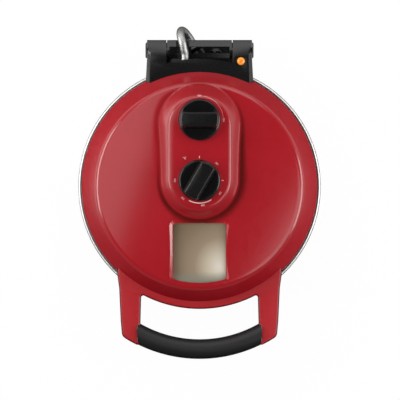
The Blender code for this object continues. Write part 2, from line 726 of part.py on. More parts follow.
def window_outline(grow=0, rear=0):
    """The window's outline, grown all round; y is measured from rear."""
    half = WINDOW_HALF_WIDTH + grow
    reach = WINDOW_FRONT_RADIUS + grow
    corner = WINDOW_CORNER + grow
    swing = math.asin(half / reach)
    front = arc(reach, -math.pi / 2 - swing, -math.pi / 2 + swing, WINDOW_ARC_STEPS)
    corners = [(half, WINDOW_REAR + grow, corner), (-half, WINDOW_REAR + grow, corner)]
    for index, (x, y) in enumerate(front):
        corners.append((x, y, corner if index in (0, WINDOW_ARC_STEPS) else 0))
    return rounded([(x, y - rear, radius) for x, y, radius in corners])


def element_route(loop, height, leg, rise):
    """A ring open at the rear whose two ends bend to a leg; rise is 1 for up, -1 for down."""
    gap = math.asin(ELEMENT_END_GAP / loop)
    start = math.pi / 2 + gap + ELEMENT_BEND / loop
    end = math.pi / 2 + 2 * math.pi - gap - ELEMENT_BEND / loop
    ring = [(x, y, height) for x, y in arc(loop, start, end, LOOP_STEPS)]
    legs = []
    for side in (1, -1):
        angle = math.pi / 2 + side * gap
        corner = around(loop, angle, height)
        out = Vector((-math.cos(angle + side * math.pi / 2), -math.sin(angle + side * math.pi / 2), 0))
        bend = []
        for step in range(1, BEND_STEPS):
            a = math.pi / 2 * step / BEND_STEPS
            bend.append(corner - out * (ELEMENT_BEND * (1 - math.sin(a)))
                        + Vector((0, 0, rise * ELEMENT_BEND * (1 - math.cos(a)))))
        bend.append(corner + Vector((0, 0, rise * ELEMENT_BEND)))
        bend.append(corner + Vector((0, 0, rise * leg)))
        legs.append(bend)
    return legs[0][::-1] + [Vector(point) for point in ring] + legs[1]


def element_holes(loop, low, high, clearance):
    """Cutters for the holes that an element's two legs pass through."""
    gap = math.asin(ELEMENT_END_GAP / loop)
    radius = ELEMENT_RADIUS + clearance
    return [placed(rod(radius, low, high), around(loop, math.pi / 2 + side * gap, 0))
            for side in (1, -1)]


# Base

def make_feet(base):
    top = FOOT_HEIGHT - TOUCH
    through = FOOT_HEIGHT + COVER_WALL + TOUCH
    section = [(0, 0), (FOOT_RADIUS - FOOT_TAPER, 0), (FOOT_RADIUS, top), (FOOT_STEM_RADIUS, top),
               (FOOT_STEM_RADIUS, through), (FOOT_STEM_RADIUS + FOOT_BARB, through),
               (FOOT_STEM_RADIUS - FOOT_BARB, through + FOOT_BARB_HEIGHT), (0, through + FOOT_BARB_HEIGHT)]
    for end, back in (("front", -1), ("rear", 1)):
        for side, right in (("left", -1), ("right", 1)):
            x = right * FOOT_CIRCLE * math.sin(FOOT_ANGLE)
            y = back * FOOT_CIRCLE * math.cos(FOOT_ANGLE)
            piece("foot_" + end + "_" + side, base, BLACK_RUBBER,
                  placed(turned(section, SMALL_STEPS), (x, y, 0)))


def foot_places():
    return [(right * FOOT_CIRCLE * math.sin(FOOT_ANGLE), back * FOOT_CIRCLE * math.cos(FOOT_ANGLE))
            for back in (-1, 1) for right in (-1, 1)]


def cover_screw_places():
    return [around(SCREW_CIRCLE, quarter * math.pi / 2, 0) for quarter in range(4)]


def make_base_cover(base):
    top = COVER_TOP - TOUCH
    path = [(0, FOOT_HEIGHT), (COVER_RADIUS - COVER_EDGE, FOOT_HEIGHT),
            (COVER_RADIUS, FOOT_HEIGHT + COVER_EDGE), (COVER_RADIUS, top)]
    section = sheet(path, COVER_WALL)
    section[len(path)] = (COVER_RADIUS - COVER_WALL, top)
    section[-1] = (0, FOOT_HEIGHT + COVER_WALL)
    cover = piece("base_cover", base, BLACK_PLASTIC, turned(section))
    wells = [placed(rod(WELL_RADIUS, FOOT_HEIGHT + COVER_WALL / 2, top), place)
             for place in cover_screw_places()]
    join(cover, cutter("screw_wells", base, *wells))
    head = FOOT_HEIGHT + WELL_DEPTH
    holes = [placed(rod(FOOT_STEM_RADIUS + TOUCH, FOOT_HEIGHT - OVERRUN, head), (x, y, 0))
             for x, y in foot_places()]
    for place in cover_screw_places():
        holes.append(placed(turned([(0, FOOT_HEIGHT - OVERRUN), (HEAD_RADIUS + TOUCH, FOOT_HEIGHT - OVERRUN),
                                    (HEAD_RADIUS + TOUCH, head), (SHANK_RADIUS + TOUCH, head),
                                    (SHANK_RADIUS + TOUCH, top + OVERRUN), (0, top + OVERRUN)],
                                   SCREW_STEPS), place))
    cut(cover, cutter("cover_holes", base, *holes))


def make_base_screws(base):
    head = FOOT_HEIGHT + WELL_DEPTH - TOUCH
    screws = [screw(BASE_SCREW_LENGTH, place + Vector((0, 0, head)), (0, 0, 1))
              for place in cover_screw_places()]
    pieces("base_screw", base, ZINC_STEEL, screws)


def make_base_ring(base):
    ring = piece("base_ring", base, STAINLESS, turned(sheet(ring_path(), RING_WALL)))
    holes = [placed(rod(SHANK_RADIUS + TOUCH, COVER_TOP - OVERRUN, COVER_TOP + OVERRUN, SCREW_STEPS), place)
             for place in cover_screw_places()]
    holes.append(placed(rod(WIRE_HOLE_RADIUS, 0, HINGE.y), (0, 0, BLOCK_MIDDLE), (0, 1, 0)))
    holes.extend(bracket_screw_holes())
    cut(ring, cutter("ring_holes", base, *holes))


def make_cooking_pan(base):
    ledge = PAN_TOP - LEDGE_DEPTH
    ledge_radius = PAN_RADIUS - LEDGE_WIDTH
    path = [(PAN_RADIUS + PAN_LEAN + PAN_FLANGE_WIDTH, PAN_TOP), (PAN_RADIUS + PAN_LEAN, PAN_TOP),
            (PAN_RADIUS, ledge), (ledge_radius, ledge), (ledge_radius - PAN_FLOOR_LEAN, PAN_FLOOR),
            (0, PAN_FLOOR)]
    pan = piece("cooking_pan", base, ALUMINISED, turned(sheet(path, PAN_WALL), INNER_STEPS))
    cut(pan, cutter("pan_holes", base, *element_holes(
        LOWER_LOOP_RADIUS, PAN_FLOOR - OVERRUN, PAN_FLOOR + OVERRUN, ELEMENT_HOLE_CLEARANCE)))


def make_pizza_stone(base):
    top = STONE_BOTTOM + STONE_THICKNESS
    inner = STONE_RADIUS - STONE_EDGE
    piece("pizza_stone", base, CERAMIC, turned([
        (0, STONE_BOTTOM), (inner, STONE_BOTTOM), (STONE_RADIUS, STONE_BOTTOM + STONE_EDGE),
        (STONE_RADIUS, top - STONE_EDGE), (inner, top), (0, top)]))


def make_heat_shield(base):
    low = SHIELD_RIM + SHIELD_WALL
    rim = RING_FOOT_RADIUS - RING_FLANGE_WIDTH
    path = [(rim + SHIELD_RIM_WIDTH, low), (rim, low), (rim - SHIELD_SLOPE, SHIELD_TOP), (0, SHIELD_TOP)]
    shield = piece("heat_shield", base, ALUMINISED, turned(sheet(path, SHIELD_WALL), INNER_STEPS))
    holes = element_holes(LOWER_LOOP_RADIUS, SHIELD_TOP - OVERRUN, SHIELD_TOP + OVERRUN,
                          2 * ELEMENT_HOLE_CLEARANCE)
    holes += [placed(rod(SHANK_RADIUS + TOUCH, SHIELD_RIM - OVERRUN, low + OVERRUN, SCREW_STEPS), place)
              for place in cover_screw_places()]
    cut(shield, cutter("shield_holes", base, *holes))


def make_lower_element(base):
    height = PAN_FLOOR + LOWER_LOOP_LIFT
    route = element_route(LOWER_LOOP_RADIUS, height, LOWER_LEG_DROP, -1)
    piece("lower_element", base, ELEMENT_STEEL, swept(route, ELEMENT_RADIUS, resolution=1))
    clips = clip_blocks(LOWER_LOOP_RADIUS, PAN_FLOOR + TOUCH, height + CLIP_GRIP)
    room = cutter("lower_element_room", base, swept(route, ELEMENT_RADIUS + TOUCH))
    for item in pieces("lower_element_clip", base, ZINC_STEEL, clips):
        cut(item, room)


def clip_blocks(loop, low, high):
    """The blocks that hold an element's ring, one on each side."""
    half = CLIP_LENGTH / 2
    side = CLIP_WIDTH / 2
    return [placed(box((loop - half, -side, low), (loop + half, side, high)), turn=angle)
            for angle in CLIP_ANGLES]


def make_electrics(base):
    length, depth, height = TERMINAL_SIZE
    low = FOOT_HEIGHT + COVER_WALL + TOUCH
    block = piece("terminal_block", base, SWITCH_PLASTIC, box(
        (-length / 2, TERMINAL_PLACE - depth / 2, low), (length / 2, TERMINAL_PLACE + depth / 2, low + height)))
    bores = [placed(rod(TERMINAL_BORE, low + height / 2, low + height + OVERRUN),
                    (place * TERMINAL_PITCH, TERMINAL_PLACE, 0)) for place in (-1, 0, 1)]
    cut(block, cutter("terminal_bores", base, *bores))
    top = PAN_FLOOR - PAN_WALL - TOUCH
    piece("thermal_fuse", base, CLEAR_GLASS, box(
        (-FUSE_LENGTH / 2, FUSE_PLACE - FUSE_WIDTH / 2, SHIELD_TOP + TOUCH),
        (FUSE_LENGTH / 2, FUSE_PLACE + FUSE_WIDTH / 2, top)), edge=TOUCH * 4)


# Hinge bracket on the base

def bracket_screw_places():
    radius = (ring_wall_radius(BLOCK_MIDDLE - HEAD_RADIUS) - RING_WALL) * FACET_SHARE - TOUCH
    angles = [math.acos(side * BRACKET_SCREW_PLACE / radius) for side in (1, -1)]
    return [(around(radius, angle, BLOCK_MIDDLE), around(1, angle, 0)) for angle in angles]


def bracket_screw_holes():
    return [screw_hole(2 * WALL_SCREW_LENGTH, place, aim) for place, aim in bracket_screw_places()]


def gland_aim():
    """Direction in which the conduit runs into the base."""
    return (Vector(CONDUIT_ROUTE[-1]) - Vector(CONDUIT_ROUTE[-2])).normalized()


def make_hinge_bracket(base):
    half = OPENING_HALF_WIDTH - SWING
    low = BLOCK_TOP - BLOCK_HEIGHT
    front = BASE_RADIUS - BLOCK_WALL * 3
    block = piece("hinge_bracket", base, BLACK_PLASTIC, box((-half, front, low), (half, BLOCK_REAR, BLOCK_TOP)))
    top = HINGE.z + BAR_RISE
    bar = rounded([(BAR_FRONT, top - BAR_DEPTH, BAR_EDGE), (BAR_REAR, top - BAR_DEPTH, BAR_EDGE),
                   (BAR_REAR, top, BAR_EDGE), (BAR_FRONT, top, BAR_EDGE)], 2)
    join(block, cutter("hinge_bar", base, side_prism(bar, -half, half)))
    tray = box((-TRAY_HALF_WIDTH, BLOCK_REAR - BLOCK_WALL, low),
               (TRAY_HALF_WIDTH, HINGE.y + TRAY_REACH, low + TRAY_WALL))
    join(block, cutter("hinge_tray", base, tray))
    notch = box((NOTCH_LEFT, BAR_FRONT - OVERRUN, top - NOTCH_DEPTH), (NOTCH_RIGHT, BAR_REAR + OVERRUN, top + OVERRUN))
    cut(block, cutter("bar_notch", base, notch))
    crown = arc(EAR_RADIUS, math.pi, math.pi / 4, 6, (HINGE.y, HINGE.z))
    ear = [(HINGE.y - EAR_RADIUS, BLOCK_MIDDLE)] + crown
    ear += [(BAR_REAR - BAR_EDGE, top - BAR_EDGE), (BAR_REAR - BAR_EDGE, top - BAR_DEPTH + BAR_EDGE),
            (BLOCK_REAR - BAR_EDGE, BLOCK_TOP - BAR_DEPTH)]
    inner = half - EAR_THICKNESS
    join(block, cutter("hinge_ears", base, side_prism(ear, inner, half - SKIN),
                       side_prism(ear, -half + SKIN, -inner)))
    aim = gland_aim()
    end = Vector(CONDUIT_ROUTE[-1]) + aim * (GLAND_COLLAR + 2 * TOUCH)
    boss_length = (end.y - BLOCK_REAR) / -aim.y + BLOCK_WALL / 2
    join(block, cutter("gland_boss", base, placed(rod(GLAND_BOSS_RADIUS, 0, boss_length, MID_STEPS), end, aim)))
    hollow = box((-BLOCK_HOLLOW_HALF_WIDTH, front - OVERRUN, low + BLOCK_WALL),
                 (BLOCK_HOLLOW_HALF_WIDTH, BLOCK_REAR - BLOCK_WALL, BLOCK_TOP - BLOCK_WALL))
    through = boss_length + BLOCK_WALL * 1.5
    holes = [placed(turned([(0, -2 * GLAND_COLLAR), (GLAND_RADIUS + 2 * TOUCH, -2 * GLAND_COLLAR),
                            (GLAND_RADIUS + 2 * TOUCH, 0), (GLAND_SHANK_RADIUS + TOUCH, 0),
                            (GLAND_SHANK_RADIUS + TOUCH, through), (0, through)], SMALL_STEPS), end, aim)]
    holes.append(placed(rod(GLAND_SHANK_RADIUS + TOUCH, BLOCK_REAR - BLOCK_WALL - OVERRUN, BLOCK_REAR + OVERRUN),
                        (MAINS_PLACE, 0, BLOCK_MIDDLE), (0, 1, 0)))
    pins = [placed(rod(PIN_RADIUS + PIN_CLEARANCE, -half - OVERRUN, half + OVERRUN), HINGE, (1, 0, 0))]
    cut(block, cutter("bracket_seat", base, turned([(0, 0)] + offset(ring_path(), -TOUCH)
                                                   + [(0, RIM_HEIGHT + OVERRUN)])))
    cut(block, cutter("bracket_hollow", base, hollow))
    cut(block, cutter("pin_holes", base, *pins), cutter("bracket_screw_holes", base, *bracket_screw_holes()),
        cutter("bracket_holes", base, *holes))
    screws = [screw(2 * WALL_SCREW_LENGTH, place, aim) for place, aim in bracket_screw_places()]
    pieces("bracket_screw", base, ZINC_STEEL, screws)


def make_glands(base):
    """The conduit's gland and the gland of the mains lead, both in the hinge bracket's block."""
    aim = gland_aim()
    start = Vector(CONDUIT_ROUTE[-1]) + aim * TOUCH
    length = (start.y - BLOCK_REAR + BLOCK_WALL) / -aim.y
    piece("base_conduit_gland", base, ZINC_STEEL, placed(turned([
        (CONDUIT_BORE_RADIUS, 0), (GLAND_RADIUS, 0), (GLAND_RADIUS, GLAND_COLLAR),
        (GLAND_SHANK_RADIUS, GLAND_COLLAR), (GLAND_SHANK_RADIUS, length), (CONDUIT_BORE_RADIUS, length)],
        SMALL_STEPS), start, aim))
    low = BLOCK_REAR - BLOCK_WALL
    seat = BLOCK_REAR + TOUCH
    piece("mains_gland", base, BLACK_PLASTIC, placed(turned([
        (MAINS_BORE_RADIUS, low), (GLAND_SHANK_RADIUS, low), (GLAND_SHANK_RADIUS, seat), (GLAND_RADIUS, seat),
        (GLAND_RADIUS, seat + MAINS_COLLAR / 2), (GLAND_SHANK_RADIUS, seat + MAINS_COLLAR),
        (MAINS_BORE_RADIUS, seat + MAINS_COLLAR)], SMALL_STEPS),
        (MAINS_PLACE, 0, BLOCK_MIDDLE), (0, 1, 0)))


# Lid

def lid_screw_places(screws):
    """Radial screws through the skirt, their heads inside the lid."""
    radius = (LID_RADIUS - SHELL_WALL) * FACET_SHARE - TOUCH
    height = LID_SEAT + HINGE_SCREW_RISE
    angles = [end * math.acos(x / radius) for x, end in screws]
    return [(around(radius, angle, height), around(1, angle, 0)) for angle in angles]


def lid_screw_holes(screws):
    return [screw_hole(WALL_SCREW_LENGTH, place, aim) for place, aim in lid_screw_places(screws)]


def lid_screws(screws):
    return [screw(WALL_SCREW_LENGTH, place, aim) for place, aim in lid_screw_places(screws)]


def make_lid_shell(lid):
    shell = piece("lid_shell", lid, RED_ENAMEL, lid_solid(0))
    join(shell, cutter("pod_outside", lid, pod_solid(0)))
    cut(shell, cutter("dome_inside", lid, lid_solid(SHELL_WALL)))
    cut(shell, cutter("pod_inside", lid, pod_solid(SHELL_WALL)))
    holes = [prism(window_outline(), LINER_TOP, POD_TOP + OVERRUN)]
    for place in (POWER_PLACE, TEMPERATURE_PLACE):
        holes.append(placed(rod(BUSHING_RADIUS + TOUCH, CONTROL_TOP - OVERRUN, POD_TOP + OVERRUN), (0, place, 0)))
    holes += lid_screw_holes(HANDLE_SCREWS + HINGE_SCREWS)
    start = Vector(CONDUIT_ROUTE[0])
    holes.append(placed(rod(CONDUIT_BORE_RADIUS, -FERRULE_RADIUS * 2, 0), start, (0, 1, 0)))
    cut(shell, cutter("shell_holes", lid, *holes))


def make_lid_liner(lid):
    flange = LID_SEAT + LINER_FLANGE_HEIGHT
    path = [(LID_RADIUS - SHELL_WALL - TOUCH, flange), (LINER_FOOT_RADIUS, flange),
            (LINER_RADIUS, LINER_TOP), (0, LINER_TOP)]
    liner = piece("lid_liner", lid, ALUMINISED, turned(sheet(path, LINER_WALL)))
    holes = [prism(window_outline(-CHUTE_INSET), LINER_TOP - OVERRUN, LINER_TOP + OVERRUN)]
    holes += element_holes(UPPER_LOOP_RADIUS, LINER_TOP - OVERRUN, LINER_TOP + OVERRUN, ELEMENT_HOLE_CLEARANCE)
    holes.append(placed(rod(BULB_RADIUS, LINER_TOP - OVERRUN, LINER_TOP + OVERRUN),
                        (BULB_LENGTH / 2 + 2 * BULB_RADIUS, BULB_PLACE, 0)))
    cut(liner, cutter("liner_holes", lid, *holes))


def make_window(lid):
    """The glass and the frame that holds it, both tilted with the dome."""
    rear = (WINDOW_REAR - WINDOW_FRONT_RADIUS) / 2
    tilt = math.asin(-rear / DOME_CURVE)
    half_length = (WINDOW_REAR + WINDOW_FRONT_RADIUS) / 2 + GLASS_LIP
    half_width = WINDOW_HALF_WIDTH + GLASS_LIP
    sink = SHELL_WALL + (half_length ** 2 + half_width ** 2) / (2 * DOME_CURVE) + 2 * TOUCH
    place = (0, rear, dome_height(-rear))
    glass = placed(prism(window_outline(GLASS_LIP, rear), -sink - GLASS_THICKNESS, -sink), place, tilt=tilt)
    piece("window_glass", lid, SMOKED_GLASS, glass)
    low = -sink - GLASS_THICKNESS - TOUCH
    tray = placed(prism(window_outline(GLASS_LIP + TOUCH + FRAME_WALL, rear), low - FRAME_LEDGE, 0),
                  place, tilt=tilt)
    frame = piece("window_frame", lid, BLACK_PLASTIC, tray)
    combine(frame, 'INTERSECT', cutter("frame_limit", lid, lid_solid(SHELL_WALL + TOUCH)))
    chute = prism(window_outline(CHUTE_WALL - CHUTE_INSET), LINER_TOP + TOUCH, place[2] - sink)
    join(frame, cutter("window_chute", lid, chute))
    recess = placed(prism(window_outline(GLASS_LIP + TOUCH, rear), low, OVERRUN), place, tilt=tilt)
    cut(frame, cutter("glass_recess", lid, recess))
    cut(frame, cutter("frame_opening", lid, prism(window_outline(-CHUTE_INSET), LINER_TOP, POD_TOP)))


def make_upper_element(lid):
    under = LINER_TOP - LINER_WALL
    height = under - UPPER_LOOP_DROP
    route = element_route(UPPER_LOOP_RADIUS, height, UPPER_LEG_RISE, 1)
    piece("upper_element", lid, ELEMENT_STEEL, swept(route, ELEMENT_RADIUS, resolution=1))
    clips = clip_blocks(UPPER_LOOP_RADIUS, height - CLIP_GRIP, under - TOUCH)
    room = cutter("upper_element_room", lid, swept(route, ELEMENT_RADIUS + TOUCH))
    for item in pieces("upper_element_clip", lid, ZINC_STEEL, clips):
        cut(item, room)


def control_body(name, lid, size, place):
    """A switch or thermostat under the pod's top, with its bushing through the shell."""
    width, depth, height = size
    body = piece(name, lid, SWITCH_PLASTIC, box(
        (-width / 2, place - depth / 2, CONTROL_TOP - height), (width / 2, place + depth / 2, CONTROL_TOP)))
    top = POD_TOP + BUSHING_HEIGHT
    join(body, cutter(name + "_bushing", lid, placed(rod(BUSHING_RADIUS, CONTROL_TOP - OVERRUN, top, MID_STEPS),
                                                      (0, place, 0))))
    low = POD_TOP - SHAFT_SEAT - TOUCH
    cut(body, cutter(name + "_bore", lid, placed(rod(SHAFT_RADIUS + TOUCH, low, top + OVERRUN), (0, place, 0))))


def make_controls(lid):
    control_body("power_switch", lid, SWITCH_SIZE, POWER_PLACE)
    control_body("thermostat", lid, THERMOSTAT_SIZE, TEMPERATURE_PLACE)
    low = POD_TOP + TOUCH
    nuts = []
    for place in (POWER_PLACE, TEMPERATURE_PLACE):
        outline = circle(NUT_RADIUS, 6)
        nuts.append(placed(prism(outline, low, low + NUT_HEIGHT), (0, place, 0)))
    holes = [placed(rod(BUSHING_RADIUS + TOUCH, low - OVERRUN, low + OVERRUN, MID_STEPS), (0, place, 0))
             for place in (POWER_PLACE, TEMPERATURE_PLACE)]
    bores = cutter("nut_bores", lid, *holes)
    for item in pieces("control_nut", lid, ZINC_STEEL, nuts, ("power", "temperature")):
        cut(item, bores)


def make_thermostat_bulb(lid):
    """The bulb under the liner and its capillary, which rises to the thermostat's underside."""
    half = BULB_LENGTH / 2
    height = LINER_TOP - LINER_WALL - BULB_DROP - BULB_RADIUS
    rise = half + 2 * BULB_RADIUS
    goal = CONTROL_TOP - THERMOSTAT_SIZE[2] - TOUCH
    run = (LINER_TOP + goal) / 2
    bend = BULB_RADIUS
    end = (half / 2, TEMPERATURE_PLACE - THERMOSTAT_SIZE[1] / 4)
    route = [(-half, BULB_PLACE, height), (half - bend, BULB_PLACE, height), (half, BULB_PLACE, height),
             (rise - bend, BULB_PLACE, height), (rise, BULB_PLACE, height + bend),
             (rise, BULB_PLACE, run - bend / 2), (rise - bend, BULB_PLACE, run),
             (end[0] + bend, end[1], run), (end[0], end[1], run + bend / 2), (end[0], end[1], goal)]
    swell = [1, 1] + [CAPILLARY_SHARE] * (len(route) - 2)
    piece("thermostat_bulb", lid, COPPER, swept(route, BULB_RADIUS, swell))
    side = BULB_CLIP_WIDTH / 2
    wide = 2 * BULB_RADIUS
    top = LINER_TOP - LINER_WALL - TOUCH
    clip = box((-side, BULB_PLACE - wide, height - BULB_RADIUS / 2), (side, BULB_PLACE + wide, top))
    item = piece("bulb_clip", lid, ZINC_STEEL, clip)
    straight = [(-half - OVERRUN, BULB_PLACE, height), (half + OVERRUN, BULB_PLACE, height)]
    cut(item, cutter("bulb_room", lid, swept(straight, BULB_RADIUS + TOUCH)))


# Dials

def shaft_outline(radius, flat):
    """Round shaft with a flat on its +Y side."""
    start = math.asin((radius - flat) / radius)
    return arc(radius, math.pi - start, 2 * math.pi + start, MID_STEPS)


def make_dial(name, body, place, pointer):
    """A dial: a disc with a raised bar across it and a socket for its shaft."""
    disc = DIAL_BOTTOM + DIAL_DISC
    recess = DIAL_BOTTOM + DIAL_HUB_DEPTH
    section = [(0, recess), (DIAL_HUB_RADIUS, recess), (DIAL_HUB_RADIUS, DIAL_BOTTOM),
               (DIAL_RADIUS, DIAL_BOTTOM), (DIAL_RADIUS, disc - DIAL_RIM), (DIAL_RADIUS - DIAL_RIM, disc),
               (0, disc)]
    dial = piece(name + "_dial", body, BLACK_PLASTIC, placed(turned(section, DIAL_STEPS), (0, place, 0)))
    half = DIAL_BAR_WIDTH / 2
    swing = math.asin(half / DIAL_BAR_RADIUS)
    outline = arc(DIAL_BAR_RADIUS, -swing, swing, 6) + arc(DIAL_BAR_RADIUS, math.pi - swing, math.pi + swing, 6)
    top = DIAL_BOTTOM + DIAL_HEIGHT
    shrink = 1 - DIAL_BAR_EDGE / half
    rings = [[(x, y, disc - DIAL_RIM) for x, y in outline],
             [(x, y, top - DIAL_BAR_EDGE) for x, y in outline],
             [(x - math.copysign(DIAL_BAR_EDGE, x), y * shrink, top) for x, y in outline]]
    join(dial, cutter(name + "_bar", body, placed(lofted(rings), (0, place, 0), turn=pointer)))
    end = DIAL_BOTTOM + DIAL_SOCKET_DEPTH
    socket = prism(shaft_outline(SHAFT_RADIUS + TOUCH, SHAFT_FLAT), DIAL_BOTTOM + TOUCH, end + TOUCH)
    cut(dial, cutter(name + "_socket", body, placed(socket, (0, place, 0), turn=pointer)))
    shaft = prism(shaft_outline(SHAFT_RADIUS, SHAFT_FLAT), POD_TOP - SHAFT_SEAT, end)
    piece(name + "_shaft", body, ZINC_STEEL, placed(shaft, (0, place, 0), turn=pointer))


# Hinge cover on the lid

def flared_side(front, low, top, side):
    """A slim wedge on the cover's side that widens towards the lid and carries on the side's chamfer."""
    rings = []
    for y, flare in ((front, SIDE_FLARE), (HINGE.y - FLARE_SETBACK, SKIN)):
        inner = HINGE_HALF_WIDTH - SIDE_CHAMFER / 2
        outer = HINGE_HALF_WIDTH + flare
        brow = top - SIDE_CHAMFER
        outline = [(inner, low), (outer, low), (outer, brow - flare), (inner, brow + SIDE_CHAMFER / 2)]
        rings.append([(x * side, y, z) for x, z in outline])
    return lofted(rings)


def make_hinge_cover(lid):
    front = math.sqrt(SHOULDER_RADIUS ** 2 - HINGE_HALF_WIDTH ** 2) - OVERRUN
    low = HANDLE_BOTTOM
    top = LID_SEAT + HINGE_TOP
    drop = math.asin((HINGE.z - low) / BOSS_RADIUS)
    boss = arc(BOSS_RADIUS, math.radians(100), -math.pi + drop, BOSS_STEPS, (HINGE.y, HINGE.z))
    side = [(front, low), (front, top)] + boss
    cover = piece("hinge_cover", lid, BLACK_PLASTIC, side_prism(side, -HINGE_HALF_WIDTH, HINGE_HALF_WIDTH))
    join(cover, cutter("side_flares", lid, flared_side(front, low, top, 1), flared_side(front, low, top, -1)))
    rear = HINGE.y + BOSS_RADIUS + OVERRUN
    swing = math.asin(OPENING_HALF_WIDTH / OPENING_RADIUS)
    opening = arc(OPENING_RADIUS, math.pi / 2 - swing, math.pi / 2 + swing, 6)
    opening += [(-OPENING_HALF_WIDTH, rear), (OPENING_HALF_WIDTH, rear)]
    deep = HINGE.z - BOSS_RADIUS - OVERRUN
    high = HINGE.z + BOSS_RADIUS + OVERRUN
    cut(cover, cutter("hinge_opening", lid, prism(opening, deep, high)))
    cut(cover, cutter("cover_seat", lid, lid_solid(-TOUCH)))
    corner = HINGE_HALF_WIDTH - SIDE_CHAMFER
    wedges = []
    for side in (1, -1):
        outline = [(corner * side, top), (HINGE_HALF_WIDTH * side, top - SIDE_CHAMFER),
                   ((HINGE_HALF_WIDTH + OVERRUN) * side, top - SIDE_CHAMFER),
                   ((HINGE_HALF_WIDTH + OVERRUN) * side, high), ((corner - (high - top)) * side, high)]
        wedges.append(lofted([[(x, y, z) for x, z in outline] for y in (front - OVERRUN, rear)]))
    cut(cover, cutter("side_chamfers", lid, *wedges))
    hollows = []
    inner = OPENING_HALF_WIDTH + ARM_WALL
    outer = HINGE_HALF_WIDTH - ARM_WALL
    for side in (1, -1):
        x = sorted((inner * side, outer * side))
        hollows.append(box((x[0], front + OVERRUN, low - OVERRUN), (x[1], ARM_HOLLOW_REAR, top - ARM_WALL)))
    cut(cover, cutter("arm_hollows", lid, *hollows))
    bore = placed(rod(PIN_RADIUS + PIN_CLEARANCE, -HINGE_HALF_WIDTH - OVERRUN, HINGE_HALF_WIDTH + OVERRUN),
                  HINGE, (1, 0, 0))
    x, y = LAMP_PLACE
    lamp = placed(turned([(0, low), (LENS_STEM_RADIUS + TOUCH, low), (LENS_STEM_RADIUS + TOUCH, top - LAMP_RECESS),
                          (LENS_RADIUS + LAMP_RECESS, top - LAMP_RECESS), (LENS_RADIUS + LAMP_RECESS, top + OVERRUN),
                          (0, top + OVERRUN)], MID_STEPS), (x, y, 0))
    start = Vector(CONDUIT_ROUTE[0])
    conduit = placed(turned([(0, -FERRULE_RADIUS * 2), (FERRULE_RADIUS + TOUCH, -FERRULE_RADIUS * 2),
                             (FERRULE_RADIUS + TOUCH, 0), (CONDUIT_RADIUS + CONDUIT_CLEARANCE, 0),
                             (CONDUIT_RADIUS + CONDUIT_CLEARANCE, FERRULE_RADIUS * 2), (0, FERRULE_RADIUS * 2)],
                            MID_STEPS), start, (0, 1, 0))
    cut(cover, cutter("cover_holes_round", lid, bore, lamp, conduit, *lid_screw_holes(HINGE_SCREWS)))
    pieces("hinge_screw", lid, ZINC_STEEL, lid_screws(HINGE_SCREWS))
    seat = LID_RADIUS + TOUCH
    length = start.y - math.sqrt(seat ** 2 - (abs(start.x) - FERRULE_RADIUS) ** 2) - 3 * TOUCH
    piece("lid_conduit_ferrule", lid, ZINC_STEEL, placed(
        tube_ring(CONDUIT_BORE_RADIUS, FERRULE_RADIUS, -length, -TOUCH, MID_STEPS), start, (0, 1, 0)))


def make_pins(lid):
    inner = OPENING_HALF_WIDTH - SWING - EAR_THICKNESS
    pins = []
    caps = []
    for side in (1, -1):
        aim = (side, 0, 0)
        pins.append(placed(rod(PIN_RADIUS, inner, PIN_END), (0, HINGE.y, HINGE.z), aim))
        low = HINGE_HALF_WIDTH + TOUCH
        plug = PIN_END + TOUCH
        caps.append(placed(turned([(0, plug), (PLUG_RADIUS, plug), (PLUG_RADIUS, low), (CAP_RADIUS, low),
                                   (CAP_RADIUS, low + CAP_THICKNESS / 2),
                                   (CAP_RADIUS - CAP_THICKNESS, low + CAP_THICKNESS),
                                   (0, low + CAP_THICKNESS)], MID_STEPS), (0, HINGE.y, HINGE.z), aim))
    pieces("hinge_pin", lid, ZINC_STEEL, pins, ("right", "left"))
    pieces("hinge_cap", lid, BLACK_PLASTIC, caps, ("right", "left"))


def make_lamp(lid):
    x, y = LAMP_PLACE
    seat = LID_SEAT + HINGE_TOP - LAMP_RECESS + TOUCH
    top = seat + LENS_FLANGE
    low = seat - LENS_STEM_LENGTH
    inner = LENS_STEM_RADIUS - LENS_WALL
    dome = [(LENS_RADIUS * outward, top + LENS_DOME * upward) for outward, upward in LENS_SHARES]
    piece("lamp_lens", lid, ORANGE_LENS, placed(turned([
        (0, top + LENS_DOME - LENS_WALL), (inner, top), (inner, low), (LENS_STEM_RADIUS, low),
        (LENS_STEM_RADIUS, seat), (LENS_RADIUS, seat), (LENS_RADIUS, top)] + dome
        + [(0, top + LENS_DOME)], MID_STEPS), (x, y, 0)))
    radius = inner - TOUCH
    piece("neon_lamp", lid, CLEAR_GLASS, placed(turned([
        (0, top - NEON_LENGTH), (radius, top - NEON_LENGTH), (radius, top - radius), (0, top)],
        SMALL_STEPS), (x, y, 0)))


# Handle

def arm_end_arc():
    """Front end of the right arm, which follows the grip's curve."""
    reach = GRIP_ARC_RADIUS + GRIP_RADIUS + ARM_END_MARGIN
    inner = -math.acos(ARM_INNER_X / reach)
    outer = -math.acos(ARM_END_OUTER_X / reach)
    return arc(reach, inner, outer, 3, (0, GRIP_CENTRE))


def arm_outer():
    """Outer side of the right arm, from its tip back to the lid."""
    reach = GRIP_ARC_RADIUS + GRIP_RADIUS + ARM_END_MARGIN
    end = GRIP_CENTRE - math.sqrt(reach ** 2 - ARM_END_OUTER_X ** 2)
    return [(ARM_TIP_X, end + ARM_TIP_RUN), (ARM_NECK_X, ARM_NECK_INSET - LID_RADIUS),
            (ARM_SIDE_X, ARM_SIDE_INSET - LID_RADIUS)]


